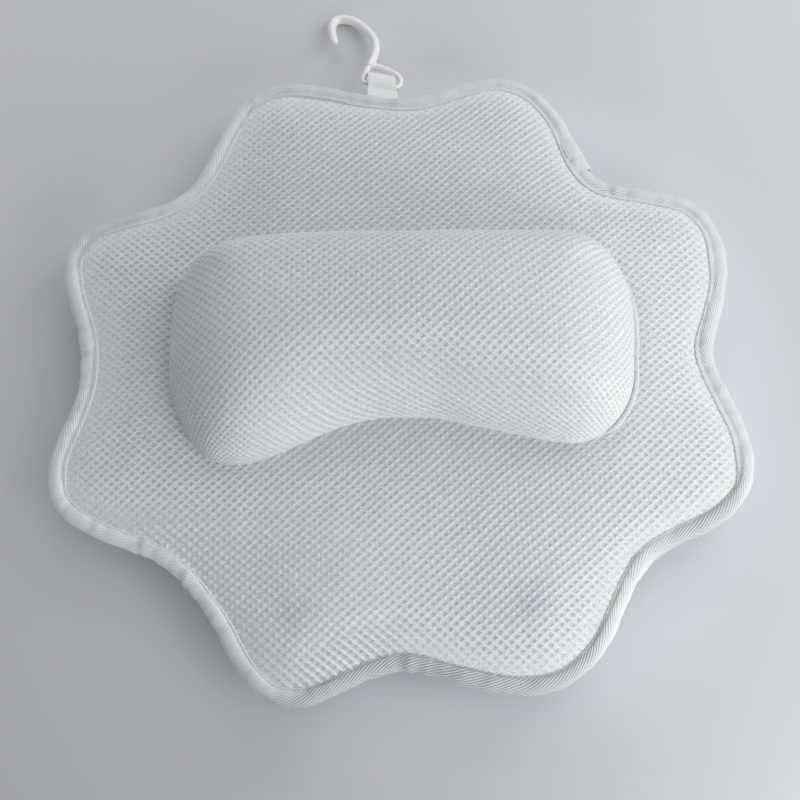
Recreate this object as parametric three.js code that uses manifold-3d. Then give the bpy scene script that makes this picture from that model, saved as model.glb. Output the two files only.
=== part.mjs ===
// Bath pillow: an eight-lobed mesh pad with a bean-shaped head cushion, a taped edge,
// four suction cups behind it and a hook on a webbing loop at the top.
// Millimetres, +Z up. The pad lies face up on its cups: z = 0 is the plane of the cup lips,
// +Y points from the pad's middle to the hook, and the origin is below the middle of the whole box.
import * as THREE from "three";
import { mergeVertices } from "three/addons/utils/BufferGeometryUtils.js";
import Module from "manifold-3d";

// ---------------------------------------------------------------- driving dimensions
const ORIGIN_X = 2.11;            // pad centre in the part's frame
const ORIGIN_Y = -33.72;

const PAD_RADIUS = 187;           // mean radius of the taped edge
const LOBE = 14.27;               // lobe height, eight lobes, two of them at the top
// slight unevenness of the sewn outline: [waves round the edge, cosine, sine]
const EDGE_WAVES = [
  [2, 0.0, -1.3], [3, -1.28, -0.73], [4, 2.42, 0.65], [5, -0.9, 0.52], [6, -0.55, 0.75],
  [7, 0.35, 0.37], [9, 0.04, -0.63], [11, 0.43, -0.84], [12, 0.35, 0.74], [13, 0.36, 0.61],
  [14, 0.54, -0.27], [15, -0.71, 0.22], [16, 0.23, 0.27], [17, -0.43, 0.16], [18, -0.33, -0.37],
];
const EDGE_POINTS = 80;

const PAD_BACK_Z = 15;            // back face of the pad, above the cup lips
const PAD_FRONT_Z = 30;           // front face of the pad
const PAD_MID_Z = 22.5;           // where the two panels meet
const TONGUE_HALF = 2.7;          // half thickness of the edge that the tape clamps
const PAD_SWELL = 16;             // width over which the pad swells from edge to full thickness

const TAPE_WIDTH = 10.5;          // tape showing on each side
const TAPE_HALF = 4.4;            // half thickness of the taped edge
const TAPE_WALL = 1.35;           // tape thickness
const TAPE_JOIN = 0.782;          // angle of the joint in the tape, in a notch

const GAP = 0.3;                  // clearance between separate pieces

const CUSHION_BASE_Z = PAD_FRONT_Z + GAP;
const CUSHION_HEIGHT = 50;
const CUSHION_WALL = 3;           // thickness of the cover's mesh
const CUSHION_STRAIGHT = 0.3;     // share of the height with near-upright sides
const CUSHION_ROUND = 30;         // how far the top draws in
const CUSHION_CENTRE = [0, 8];
const CUSHION_HALF = [130, 60];
const CUSHION_OUTLINE = [
  [-97, 62.4], [-53, 64.6], [2, 63.1], [44, 63.4], [86, 62.5], [104, 60.5], [117, 55],
  [124.5, 45], [128.5, 27], [129.8, 6], [129, -18], [125.4, -36], [114.6, -49], [93.6, -56.5],
  [66, -51.4], [39, -44], [12, -36.8], [-9.5, -36.3], [-34.7, -42.6], [-65.6, -56.6],
  [-92.8, -62], [-109.5, -53.8], [-119, -38], [-125, -21], [-128.7, 1.5], [-129.9, 24],
  [-129, 44], [-122, 56.5], [-111, 61],
];

const CUPS = [
  ["top_left", -62, 150.5], ["top_right", 62, 149.5],
  ["bottom_left", -60, -143.5], ["bottom_right", 63, -143],
];
const CUP_LIP_R = 27;
const CUP_NECK_R = 4;
const CUP_SIDES = 18;
const CUP_HOLE_R = 4.6;           // hole in the back panel
const CUP_HEAD_POCKET_R = 9.4;    // pocket between the panels for the cup's head
const CUP_HEAD_POCKET_Z = 18.7;
const COLLAR_R = 14.5;

const FALL = -0.25;               // slope of the loop and the hook, down to the surface below
const BAR = [-6, 192, PAD_MID_Z - 4];   // middle of the hook's bar, in pad coordinates
const BAR_TURN = THREE.MathUtils.degToRad(-18);
const WEB_WIDTH = 17.6;
const WEB_THICK = 1.3;
const WEB_MID_X = -5.3;
const WEB_START_Y = 182.4;
const ROD_R = 2.5;
const FRAME_BAR_R = 1.6;
const FRAME_LEG_R = 1.4;

// ---------------------------------------------------------------- helpers
const wasm = await Module();
wasm.setup();

function solid(geometry) {
  const g = geometry.index ? geometry.toNonIndexed() : geometry.clone();
  for (const name of Object.keys(g.attributes)) if (name !== "position") g.deleteAttribute(name);
  const m = mergeVertices(g, 1e-4);
  return new wasm.Manifold(new wasm.Mesh({
    numProp: 3,
    vertProperties: new Float32Array(m.attributes.position.array),
    triVerts: new Uint32Array(m.index.array),
  }));
}

function geometryOf(manifold) {
  const mesh = manifold.getMesh();
  const n = mesh.numProp;
  const count = mesh.vertProperties.length / n;
  const pos = new Float32Array(count * 3);
  for (let i = 0; i < count; i++) for (let k = 0; k < 3; k++) pos[3 * i + k] = mesh.vertProperties[n * i + k];
  const g = new THREE.BufferGeometry();
  g.setAttribute("position", new THREE.BufferAttribute(pos, 3));
  g.setIndex(Array.from(mesh.triVerts));
  g.computeVertexNormals();
  return g;
}

function boxSolid(lo, hi) {
  const g = new THREE.BoxGeometry(hi[0] - lo[0], hi[1] - lo[1], hi[2] - lo[2]);
  g.translate((hi[0] + lo[0]) / 2, (hi[1] + lo[1]) / 2, (hi[2] + lo[2]) / 2);
  return solid(g);
}

function rodSolid(r, z0, z1, x, y, sides = CUP_SIDES) {
  const g = new THREE.CylinderGeometry(r, r, z1 - z0, sides);
  g.rotateX(Math.PI / 2);
  g.translate(x, y, (z0 + z1) / 2);
  return solid(g);
}

// ---------------------------------------------------------------- the flower outline
function edgeRadius(a) {
  let r = PAD_RADIUS - LOBE * Math.cos(8 * a);
  for (const [k, c, s] of EDGE_WAVES) r += c * Math.cos(k * a) + s * Math.sin(k * a);
  return r;
}

function edgePoint(a) {
  const r = edgeRadius(a);
  return new THREE.Vector2(r * Math.cos(a), r * Math.sin(a));
}

// outline drawn in by a distance, measured square to the edge
function flower(inset) {
  const pts = [];
  const d = 1e-3;
  for (let i = 0; i < EDGE_POINTS; i++) {
    const a = (2 * Math.PI * i) / EDGE_POINTS;
    const p = edgePoint(a);
    const t = edgePoint(a + d).sub(edgePoint(a - d)).normalize();
    pts.push(new THREE.Vector2(p.x - t.y * inset, p.y + t.x * inset));
  }
  return new THREE.Shape(pts);
}

// flat plate with the flower outline, with edges rounded over `round` inwards and `rise` upwards
function flowerPlate(inset, z0, z1, round = 0, rise = 0, segments = 2) {
  const g = new THREE.ExtrudeGeometry(flower(inset), {
    depth: z1 - z0 - 2 * rise, steps: 1,
    bevelEnabled: rise > 0, bevelThickness: rise, bevelSize: round, bevelOffset: -round, bevelSegments: segments,
  });
  g.translate(0, 0, z0 + rise);
  return solid(g);
}

// ---------------------------------------------------------------- pad panels
const padWhole = flowerPlate(TAPE_WALL + GAP, PAD_MID_Z - TONGUE_HALF, PAD_MID_Z + TONGUE_HALF)
  .add(flowerPlate(TAPE_WIDTH + GAP, PAD_BACK_Z, PAD_FRONT_Z, PAD_SWELL, (PAD_FRONT_Z - PAD_BACK_Z) / 2 - TONGUE_HALF, 3));
const FAR = 400;
const frontPanel = padWhole.subtract(boxSolid([-FAR, -FAR, -10], [FAR, FAR, PAD_MID_Z + GAP / 2]));
let backPanel = padWhole.subtract(boxSolid([-FAR, -FAR, PAD_MID_Z - GAP / 2], [FAR, FAR, 100]));
for (const [, x, y] of CUPS) {
  backPanel = backPanel
    .subtract(rodSolid(CUP_HOLE_R, 0, 40, x, y))
    .subtract(rodSolid(CUP_HEAD_POCKET_R, CUP_HEAD_POCKET_Z, 40, x, y));
}

// ---------------------------------------------------------------- folded tape round the edge
let tape = flowerPlate(0, PAD_MID_Z - TAPE_HALF, PAD_MID_Z + TAPE_HALF, 3.4, 3.1, 2)
  .subtract(flowerPlate(TAPE_WIDTH, 0, 60))
  .subtract(flowerPlate(TAPE_WALL, PAD_MID_Z - TONGUE_HALF - GAP, PAD_MID_Z + TONGUE_HALF + GAP));
{
  // the two ends of the tape stop just short of each other
  const g = new THREE.BoxGeometry(60, 0.5, 40);
  g.translate(PAD_RADIUS, 0, PAD_MID_Z);
  g.rotateZ(TAPE_JOIN);
  tape = tape.subtract(solid(g));
}

// ---------------------------------------------------------------- head cushion
function cushion(wall, z0, z1) {
  const curve = new THREE.CatmullRomCurve3(CUSHION_OUTLINE.map(([x, y]) => new THREE.Vector3(x, y, 0)), true);
  const pts = curve.getSpacedPoints(44).slice(0, 44).map((p) => new THREE.Vector2(p.x, p.y));
  const shape = new THREE.Shape(pts);
  const height = z1 - z0;
  const g = new THREE.ExtrudeGeometry(shape, { depth: height, steps: 6, bevelEnabled: false });
  const p = g.attributes.position;
  for (let i = 0; i < p.count; i++) {
    const t = p.getZ(i) / height;
    const u = Math.max(0, (t - CUSHION_STRAIGHT) / (1 - CUSHION_STRAIGHT));
    // levels crowd towards the top, where the shape turns over fastest
    const lift = t + 0.18 * Math.sin(Math.PI * t);
    const v = Math.max(0, (lift - CUSHION_STRAIGHT) / (1 - CUSHION_STRAIGHT));
    const inset = wall + CUSHION_ROUND * (1 - Math.sqrt(Math.max(0, 1 - Math.min(1, v * v)))) + 3 * u;
    const sx = 1 - inset / CUSHION_HALF[0];
    const sy = 1 - inset / CUSHION_HALF[1];
    p.setXYZ(i,
      CUSHION_CENTRE[0] + (p.getX(i) - CUSHION_CENTRE[0]) * sx,
      CUSHION_CENTRE[1] + (p.getY(i) - CUSHION_CENTRE[1]) * sy,
      z0 + height * Math.min(1, lift));
  }
  return solid(g);
}
const cushionTop = CUSHION_BASE_Z + CUSHION_HEIGHT;
const cushionCover = cushion(0, CUSHION_BASE_Z, cushionTop)
  .subtract(cushion(CUSHION_WALL, CUSHION_BASE_Z - 1, cushionTop - CUSHION_WALL));
const cushionFill = cushion(CUSHION_WALL + GAP, CUSHION_BASE_Z, cushionTop - CUSHION_WALL - GAP);

// ---------------------------------------------------------------- suction cup and its collar
function lathe(profile, sides) {
  const g = new THREE.LatheGeometry(profile.map(([r, z]) => new THREE.Vector2(r, z)), sides);
  g.rotateX(Math.PI / 2);
  return g;
}

const CUP_PROFILE = [
  [0, 8], [6, 7.7], [12, 6.6], [18, 4.5], [24.2, 0], [CUP_LIP_R - 0.3, 0], [CUP_LIP_R, 0.9],
  [25.4, 2.6], [20.5, 6.6], [14, 9.7], [7, 11.2], [CUP_NECK_R, 11.6], [CUP_NECK_R, 19.3],
  [7.9, 19.5], [8.5, 20.5], [6.4, 21.9], [0, 22],
];

function cupSolid(x, y) {
  const tab = new THREE.Shape();
  tab.moveTo(0, -4.5);
  tab.lineTo(8, -4.5);
  tab.absarc(8, 0, 4.5, -Math.PI / 2, Math.PI / 2, false);
  tab.lineTo(0, 4.5);
  tab.closePath();
  const g = new THREE.ExtrudeGeometry(tab, { depth: 1.5, bevelEnabled: false, curveSegments: 6 });
  g.translate(CUP_LIP_R - 2.6, 0, 0.3);
  // the pull tab points to the pad's middle
  g.rotateZ(Math.atan2(-y, -x));
  const c = solid(lathe(CUP_PROFILE, CUP_SIDES)).add(solid(g));
  const out = geometryOf(c);
  out.translate(x, y, 0);
  return out;
}

const COLLAR_PROFILE = [
  [CUP_NECK_R + 0.7, 13], [COLLAR_R - 0.6, 13], [COLLAR_R, 13.5], [COLLAR_R, 14.3],
  [COLLAR_R - 0.6, 14.7], [CUP_NECK_R + 0.7, 14.7], [CUP_NECK_R + 0.7, 13],
];

function collarSolid(x, y) {
  const g = geometryOf(solid(lathe(COLLAR_PROFILE, CUP_SIDES)));
  g.translate(x, y, 0);
  return g;
}

// ---------------------------------------------------------------- webbing loop
// side view of the doubled webbing: two layers that part round the hook's bar
// v runs outwards from the bar, w is square to the webbing
function loopGeometry() {
  const tail = -(BAR[1] - WEB_START_Y) * Math.hypot(1, FALL);
  const h = WEB_THICK + 0.1;
  const s = new THREE.Shape();
  s.moveTo(tail, -h);
  s.lineTo(-6, -h);
  s.bezierCurveTo(-3, -h, -2.5, -3.9, 2.5, -3.9);
  s.bezierCurveTo(6.5, -3.9, 9.2, -2.4, 9.2, 0);
  s.bezierCurveTo(9.2, 2.4, 6.5, 3.9, 2.5, 3.9);
  s.bezierCurveTo(-2.5, 3.9, -3, h, -6, h);
  s.lineTo(tail, h);
  s.closePath();
  const e = new THREE.Path();
  e.moveTo(-3.2, 0);
  e.bezierCurveTo(-3.2, 2, -0.8, 2.6, 2.5, 2.6);
  e.bezierCurveTo(5.6, 2.6, 7.9, 1.6, 7.9, 0);
  e.bezierCurveTo(7.9, -1.6, 5.6, -2.6, 2.5, -2.6);
  e.bezierCurveTo(-0.8, -2.6, -3.2, -2, -3.2, 0);
  s.holes.push(e);
  const g = new THREE.ExtrudeGeometry(s, { depth: WEB_WIDTH, steps: 2, bevelEnabled: false, curveSegments: 4 });
  const p = g.attributes.position;
  const slant = Math.tan(BAR_TURN);
  const down = Math.atan(FALL);
  for (let i = 0; i < p.count; i++) {
    const v = p.getX(i);
    const w = p.getY(i);
    const x = WEB_MID_X - WEB_WIDTH / 2 + p.getZ(i);
    // the fold runs aslant, so one side of the loop is longer
    const share = THREE.MathUtils.smoothstep(v, tail + 1, -2);
    const vv = v + share * slant * (x - BAR[0]);
    p.setXYZ(i, x, BAR[1] + vv * Math.cos(down) - w * Math.sin(down), BAR[2] + vv * Math.sin(down) + w * Math.cos(down));
  }
  return geometryOf(solid(g));
}

// ---------------------------------------------------------------- hook
// drawn flat, u along the bar and v outwards, then turned and laid on the slope
const CROOK = [
  [-41.3, 32.2], [-44.6, 37.8], [-46.8, 45.4], [-46.6, 51.1], [-44.4, 54.3], [-40.2, 55.3],
  [-33.7, 53.7], [-26.7, 49.9], [-21, 45], [-16.7, 39.8], [-14.1, 34.1], [-13.1, 28], [-12.7, 20.9], [-12.3, 14.2],
];
const FRAME_LINE = [[-12.3, 15.4], [-4, 15.2], [3.4, 13.9], [8.2, 12], [10.8, 8.8], [11.8, 4.4], [11.9, 0.9], [10.6, 0]];
const FRAME_LEFT = [[-12.1, 15.4], [-12.9, 12.4], [-13.1, 8], [-13.0, 4], [-12.8, 1], [-11.6, 0]];

function sweep(points, r, sides, steps) {
  const circle = new THREE.Shape();
  for (let i = 0; i < sides; i++) {
    const a = (2 * Math.PI * (i + 0.5)) / sides;
    if (i) circle.lineTo(r * Math.cos(a), r * Math.sin(a));
    else circle.moveTo(r * Math.cos(a), r * Math.sin(a));
  }
  circle.closePath();
  const path = new THREE.CatmullRomCurve3(points.map(([u, v]) => new THREE.Vector3(u, v, 0)));
  return solid(new THREE.ExtrudeGeometry(circle, { extrudePath: path, steps, bevelEnabled: false }));
}

function ball(u, v, r) {
  const g = new THREE.IcosahedronGeometry(r, 1);
  g.translate(u, v, 0);
  return solid(g);
}

function hookGeometry() {
  const bar = new THREE.CylinderGeometry(FRAME_BAR_R, FRAME_BAR_R, 22.7, 10);
  bar.rotateZ(Math.PI / 2);
  bar.translate((10.8 - 11.9) / 2, 0, 0);
  const web = new THREE.Shape([[-14.2, 13.6], [-7.6, 14.6], [-10.6, 18.6], [-14.6, 18.6]].map(([u, v]) => new THREE.Vector2(u, v)));
  const webGeometry = new THREE.ExtrudeGeometry(web, { depth: 2.8, bevelEnabled: false });
  webGeometry.translate(0, 0, -1.4);
  const h = sweep(CROOK, ROD_R, 8, 22)
    .add(ball(CROOK[0][0], CROOK[0][1], ROD_R * 0.98))
    .add(sweep(FRAME_LINE, FRAME_BAR_R, 8, 10))
    .add(sweep(FRAME_LEFT, FRAME_LEG_R, 8, 7))
    .add(ball(10.8, 0, FRAME_BAR_R * 1.05))
    .add(ball(-11.9, 0, FRAME_BAR_R * 1.05))
    .add(solid(bar))
    .add(solid(webGeometry));
  const g = geometryOf(h);
  g.rotateZ(BAR_TURN);
  g.rotateX(Math.atan(FALL));
  g.translate(BAR[0], BAR[1], BAR[2]);
  return g;
}

// ---------------------------------------------------------------- materials and assembly
const meshWhite = () => new THREE.MeshStandardMaterial({ color: 0xeceeef, roughness: 0.85, metalness: 0 });
const tapeWhite = () => new THREE.MeshStandardMaterial({ color: 0xf2f2f2, roughness: 0.8, metalness: 0 });
const fillWhite = () => new THREE.MeshStandardMaterial({ color: 0xf4f2ea, roughness: 0.95, metalness: 0 });
const webWhite = () => new THREE.MeshStandardMaterial({ color: 0xf1f1f3, roughness: 0.75, metalness: 0 });
const hookWhite = () => new THREE.MeshStandardMaterial({ color: 0xf6f7f8, roughness: 0.28, metalness: 0 });
const cupClear = () => new THREE.MeshStandardMaterial({ color: 0xcfdbe6, roughness: 0.15, metalness: 0 });

const pillow = new THREE.Group();
pillow.name = "bath_pillow";
const body = new THREE.Group();
body.position.set(ORIGIN_X, ORIGIN_Y, 0);
pillow.add(body);

function place(name, geometry, material) {
  const mesh = new THREE.Mesh(geometry, material);
  mesh.name = name;
  body.add(mesh);
}

place("pad_front_mesh", geometryOf(frontPanel), meshWhite());
place("pad_back_mesh", geometryOf(backPanel), meshWhite());
place("edge_binding", geometryOf(tape), tapeWhite());
place("head_cushion_cover", geometryOf(cushionCover), meshWhite());
place("head_cushion_fill", geometryOf(cushionFill), fillWhite());
for (const [where, x, y] of CUPS) {
  place(`cup_collar_${where}`, collarSolid(x, y), tapeWhite());
  place(`suction_cup_${where}`, cupSolid(x, y), cupClear());
}
place("hanging_loop", loopGeometry(), webWhite());
place("hook", hookGeometry(), hookWhite());

export default pillow;
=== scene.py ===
import math

import bmesh
import bpy
import numpy as np
from mathutils import Matrix, Vector
from mathutils.geometry import delaunay_2d_cdt
from mathutils.kdtree import KDTree


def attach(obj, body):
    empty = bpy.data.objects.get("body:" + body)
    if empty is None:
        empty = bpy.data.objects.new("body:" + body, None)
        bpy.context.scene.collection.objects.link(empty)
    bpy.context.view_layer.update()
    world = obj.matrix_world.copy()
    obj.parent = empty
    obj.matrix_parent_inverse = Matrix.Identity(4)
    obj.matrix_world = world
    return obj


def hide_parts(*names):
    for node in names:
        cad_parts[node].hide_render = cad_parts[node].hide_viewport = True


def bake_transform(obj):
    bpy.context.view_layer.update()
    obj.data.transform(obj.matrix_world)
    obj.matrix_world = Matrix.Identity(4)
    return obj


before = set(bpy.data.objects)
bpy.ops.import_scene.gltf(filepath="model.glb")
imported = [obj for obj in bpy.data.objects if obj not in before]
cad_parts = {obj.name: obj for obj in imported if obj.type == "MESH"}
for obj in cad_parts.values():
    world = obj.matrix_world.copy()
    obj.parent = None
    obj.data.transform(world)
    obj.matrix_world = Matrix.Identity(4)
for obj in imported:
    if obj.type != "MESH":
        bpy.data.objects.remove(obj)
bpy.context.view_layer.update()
TAU = 2 * math.pi

# All shapes are drawn in millimetres about the middle of the pad, then shifted into the part's frame.
SHIFT = np.array([2.11, -33.72, 0.0])
MID_Z = 22.5

# ------------------------------------------------------------------ small helpers


def smooth01(x, lo, hi):
    t = np.clip((np.asarray(x, float) - lo) / (hi - lo), 0.0, 1.0)
    return t * t * (3 - 2 * t)


def make(name, verts, faces, smooth=True):
    """A new mesh object from points in millimetres about the pad's middle."""
    me = bpy.data.meshes.new(name)
    pts = (np.asarray(verts, float) + SHIFT) * 0.001
    me.from_pydata(pts.tolist(), [], [tuple(int(i) for i in f) for f in faces])
    me.update()
    if smooth:
        me.polygons.foreach_set("use_smooth", np.ones(len(me.polygons), bool))
    ob = bpy.data.objects.new(name, me)
    bpy.context.scene.collection.objects.link(ob)
    return ob


def point_values(ob, name, values):
    layer = ob.data.attributes.new(name, "FLOAT", "POINT")
    layer.data.foreach_set("value", np.asarray(values, np.float32))


def fix_normals(ob):
    bm = bmesh.new()
    bm.from_mesh(ob.data)
    bmesh.ops.recalc_face_normals(bm, faces=bm.faces)
    bm.to_mesh(ob.data)
    bm.free()


def catmull_closed(points, per):
    p = np.asarray(points, float)
    n = len(p)
    t = np.linspace(0, 1, per, endpoint=False)[:, None]
    out = []
    for i in range(n):
        a, b, c, d = p[i - 1], p[i], p[(i + 1) % n], p[(i + 2) % n]
        out.append(0.5 * (2 * b + (c - a) * t + (2 * a - 5 * b + 4 * c - d) * t**2 + (3 * b - a - 3 * c + d) * t**3))
    return np.concatenate(out)


def catmull_open(points, per):
    p = np.asarray(points, float)
    q = np.vstack([2 * p[0] - p[1], p, 2 * p[-1] - p[-2]])
    t = np.linspace(0, 1, per, endpoint=False)[:, None]
    out = []
    for i in range(1, len(q) - 2):
        a, b, c, d = q[i - 1], q[i], q[i + 1], q[i + 2]
        out.append(0.5 * (2 * b + (c - a) * t + (2 * a - 5 * b + 4 * c - d) * t**2 + (3 * b - a - 3 * c + d) * t**3))
    return np.vstack([np.concatenate(out), p[-1:]])


def even(points, count, closed):
    p = np.asarray(points, float)
    if closed:
        p = np.vstack([p, p[:1]])
    s = np.concatenate([[0], np.cumsum(np.linalg.norm(np.diff(p, axis=0), axis=1))])
    t = np.linspace(0, s[-1], count, endpoint=not closed)
    return np.stack([np.interp(t, s, p[:, k]) for k in range(p.shape[1])], axis=1)


class Ring:
    """A closed curve in plan, run anticlockwise, with lengths, inward normals and signed distances (inside is positive)."""

    def __init__(self, points, count=None):
        self.p = even(points, count, True) if count else np.asarray(points, float)
        count = len(self.p)
        nxt, prv = np.roll(self.p, -1, 0), np.roll(self.p, 1, 0)
        tan = nxt - prv
        self.t = tan / np.linalg.norm(tan, axis=1, keepdims=True)
        self.n = np.stack([-self.t[:, 1], self.t[:, 0]], axis=1)
        seg = np.linalg.norm(nxt - self.p, axis=1)
        self.s = np.concatenate([[0], np.cumsum(seg)])
        self.length = self.s[-1]
        self.tree = KDTree(count)
        for i, (x, y) in enumerate(self.p):
            self.tree.insert((x, y, 0), i)
        self.tree.balance()

    def at(self, s):
        s = np.mod(s, self.length)
        i = np.clip(np.searchsorted(self.s, s, side="right") - 1, 0, len(self.p) - 1)
        f = ((s - self.s[i]) / (self.s[i + 1] - self.s[i]))[:, None]
        j = (i + 1) % len(self.p)
        p = self.p[i] * (1 - f) + self.p[j] * f
        n = self.n[i] * (1 - f) + self.n[j] * f
        return p, n / np.linalg.norm(n, axis=1, keepdims=True)

    def near(self, q):
        """Signed distance, nearest point, inward normal and place in the list of points, for each point of q."""
        idx = np.fromiter((self.tree.find((x, y, 0))[1] for x, y in q), int, len(q))
        best = None
        for step in (0, -1):
            i = (idx + step) % len(self.p)
            a, b = self.p[i], self.p[(i + 1) % len(self.p)]
            ab = b - a
            f = np.clip(np.sum((q - a) * ab, 1) / np.sum(ab * ab, 1), 0, 1)
            foot = a + ab * f[:, None]
            d = np.linalg.norm(q - foot, axis=1)
            j = (i + 1) % len(self.p)
            n = self.n[i] * (1 - f[:, None]) + self.n[j] * f[:, None]
            s = i + f
            if best is None:
                best = [d, foot, n, s]
            else:
                take = d < best[0]
                best[0] = np.where(take, d, best[0])
                best[1] = np.where(take[:, None], foot, best[1])
                best[2] = np.where(take[:, None], n, best[2])
                best[3] = np.where(take, s, best[3])
        d, foot, n, s = best
        n = n / np.linalg.norm(n, axis=1, keepdims=True)
        side = np.sign(np.sum((q - foot) * n, axis=1))
        return d * np.where(side == 0, 1, side), foot, n, s


class Panel:
    """A sheet of fabric as a grid of points over its flat shape."""

    def __init__(self, x0, y0, step, points):
        self.x0, self.y0, self.step = x0, y0, step
        self.set(points)

    def set(self, points):
        self.p = points
        n = np.cross(np.gradient(points, axis=0), np.gradient(points, axis=1))
        self.n = n / np.maximum(np.linalg.norm(n, axis=2, keepdims=True), 1e-9)

    def at(self, uv):
        gx = np.clip((uv[:, 0] - self.x0) / self.step, 0, self.p.shape[0] - 1.001)
        gy = np.clip((uv[:, 1] - self.y0) / self.step, 0, self.p.shape[1] - 1.001)
        i, j = gx.astype(int), gy.astype(int)
        f, g = (gx - i)[:, None], (gy - j)[:, None]

        def mix(a):
            return (a[i, j] * (1 - f) + a[i + 1, j] * f) * (1 - g) + (a[i, j + 1] * (1 - f) + a[i + 1, j + 1] * f) * g

        n = mix(self.n)
        return mix(self.p), n / np.linalg.norm(n, axis=1, keepdims=True)


def blur(a, passes):
    for _ in range(passes):
        for ax in (0, 1):
            pad = [(0, 0)] * a.ndim
            pad[ax] = (1, 1)
            b = np.pad(a, pad, mode="edge")
            lo = [slice(None)] * a.ndim
            hi = [slice(None)] * a.ndim
            lo[ax], hi[ax] = slice(0, -2), slice(2, None)
            a = 0.25 * b[tuple(lo)] + 0.5 * a + 0.25 * b[tuple(hi)]
    return a


def waves(x, y, seed, size, count=7):
    """A smooth, seeded unevenness of about -1 to 1 with features of the given size."""
    rng = np.random.default_rng(seed)
    out = 0
    for _ in range(count):
        ang, ph, k = rng.uniform(0, TAU), rng.uniform(0, TAU), TAU / (size * rng.uniform(0.7, 1.5))
        out = out + np.sin(k * (x * math.cos(ang) + y * math.sin(ang)) + ph)
    return out / math.sqrt(count)


# ------------------------------------------------------------------ outlines
EDGE_WAVES = [
    (2, 0, -1.3), (3, -1.28, -0.73), (4, 2.42, 0.65), (5, -0.9, 0.52), (6, -0.55, 0.75), (7, 0.35, 0.37), (9, 0.04, -0.63),
    (11, 0.43, -0.84), (12, 0.35, 0.74), (13, 0.36, 0.61), (14, 0.54, -0.27), (15, -0.71, 0.22), (16, 0.23, 0.27),
    (17, -0.43, 0.16), (18, -0.33, -0.37),
]
_a = np.linspace(0, TAU, 7200, endpoint=False)
_r = 187 - 14.27 * np.cos(8 * _a) + sum(c * np.cos(k * _a) + s * np.sin(k * _a) for k, c, s in EDGE_WAVES)
EDGE = Ring(np.stack([_r * np.cos(_a), _r * np.sin(_a)], axis=1), 4000)

CUSHION_POINTS = [
    (-98.1, 65.5), (-112.4, 58.9), (-122.0, 46.6), (-125.4, 31.2), (-126.6, 15.4), (-127.0, -0.4), (-126.3, -16.2), (-121.5, -31.2),
    (-114.6, -45.4), (-104.3, -57.3), (-89.3, -61.1), (-73.9, -57.8), (-59.2, -51.9), (-44.8, -45.3), (-29.9, -39.9), (-14.5, -36.8),
    (1.4, -36.6), (17.1, -37.4), (32.5, -41.2), (47.8, -45.0), (63.1, -49.0), (78.5, -53.0), (94.1, -54.6), (108.7, -49.0),
    (119.5, -37.5), (125.7, -23.1), (127.8, -7.4), (129.3, 8.4), (129.5, 24.2), (126.6, 39.7), (119.9, 53.8), (107.1, 63.0),
    (91.6, 65.5), (75.8, 65.4), (59.9, 65.1), (44.1, 65.1), (28.3, 65.3), (12.5, 65.6), (-3.4, 66.0), (-19.2, 66.6), (-35.0, 67.2),
    (-50.8, 67.7), (-66.6, 67.9), (-82.4, 67.3),
]
CUSHION = Ring(catmull_closed(CUSHION_POINTS, 40), 1600)

CUPS = {
    "top_left": (-62.0, 150.5),
    "top_right": (62.0, 149.5),
    "bottom_left": (-60.0, -143.5),
    "bottom_right": (63.0, -143.0),
}

# ------------------------------------------------------------------ pad surfaces
GRID = np.arange(-214.0, 214.01, 1.0)
GX, GY = np.meshgrid(GRID, GRID, indexing="ij")
_q = np.stack([GX.ravel(), GY.ravel()], axis=1)
INSET = EDGE.near(_q)[0].reshape(GX.shape)
FROM_CUSHION = CUSHION.near(_q)[0].reshape(GX.shape)  # positive under the cushion


def half_thick(d, swell):
    """Half the pad's thickness at a distance in from its edge: pressed thin in the binding, then swelling."""
    return 2.9 + 1.4 * smooth01(d, 5.3, 8.2) + swell * np.sin(np.clip((d - 9.0) / 33.0, 0, 1) * math.pi / 2)


def pad_height():
    d = INSET
    z = MID_Z + half_thick(d, 5.0) + 0.5 * smooth01(d, 25, 80)
    # drawn down along the cushion's seam, and flat in a shallow seat below the cushion
    out = -FROM_CUSHION
    far = np.maximum(out, 0)
    ahead = smooth01(-GY, 0, 30)  # less in front
    z = z - ((2.2 - 1.2 * ahead) * np.exp(-((far / 5.0) ** 2)) + (0.7 - 0.5 * ahead) * np.exp(-((far / 16.0) ** 2))) * (out > -30)
    seat = smooth01(FROM_CUSHION, 1.0, 5.0)
    z = z * (1 - seat) + 25.4 * seat
    z = z + smooth01(d, 14, 40) * (1 - seat) * (0.35 * waves(GX, GY, 3, 85) + 0.12 * waves(GX, GY, 5, 30))
    return blur(z, 3)


PAD_Z = pad_height()
FRONT = Panel(GRID[0], GRID[0], 1.0, np.stack([GX, GY, PAD_Z], axis=2))


def back_height():
    d = INSET
    z = MID_Z - half_thick(d, 3.5)
    z = z + smooth01(d, 14, 40) * 0.3 * waves(GX, GY, 11, 80)
    for cx, cy in CUPS.values():
        r = np.hypot(GX - cx, GY - cy)
        near = 1 - smooth01(r, 15, 28)
        z = z * (1 - near) + 15.0 * near
    return blur(z, 3)


BACK_Z = back_height()
# the back is seen from below, so its flat shape is mirrored in x
BACK = Panel(GRID[0], GRID[0], 1.0, np.stack([-GX, GY, BACK_Z[::-1]], axis=2))

# ------------------------------------------------------------------ cushion surface
CUSHION_BASE = 30.3
CUSHION_H = 49.6


def around(values, passes):
    for _ in range(passes):
        values = 0.25 * np.roll(values, 1) + 0.5 * values + 0.25 * np.roll(values, -1)
    return values


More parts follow.
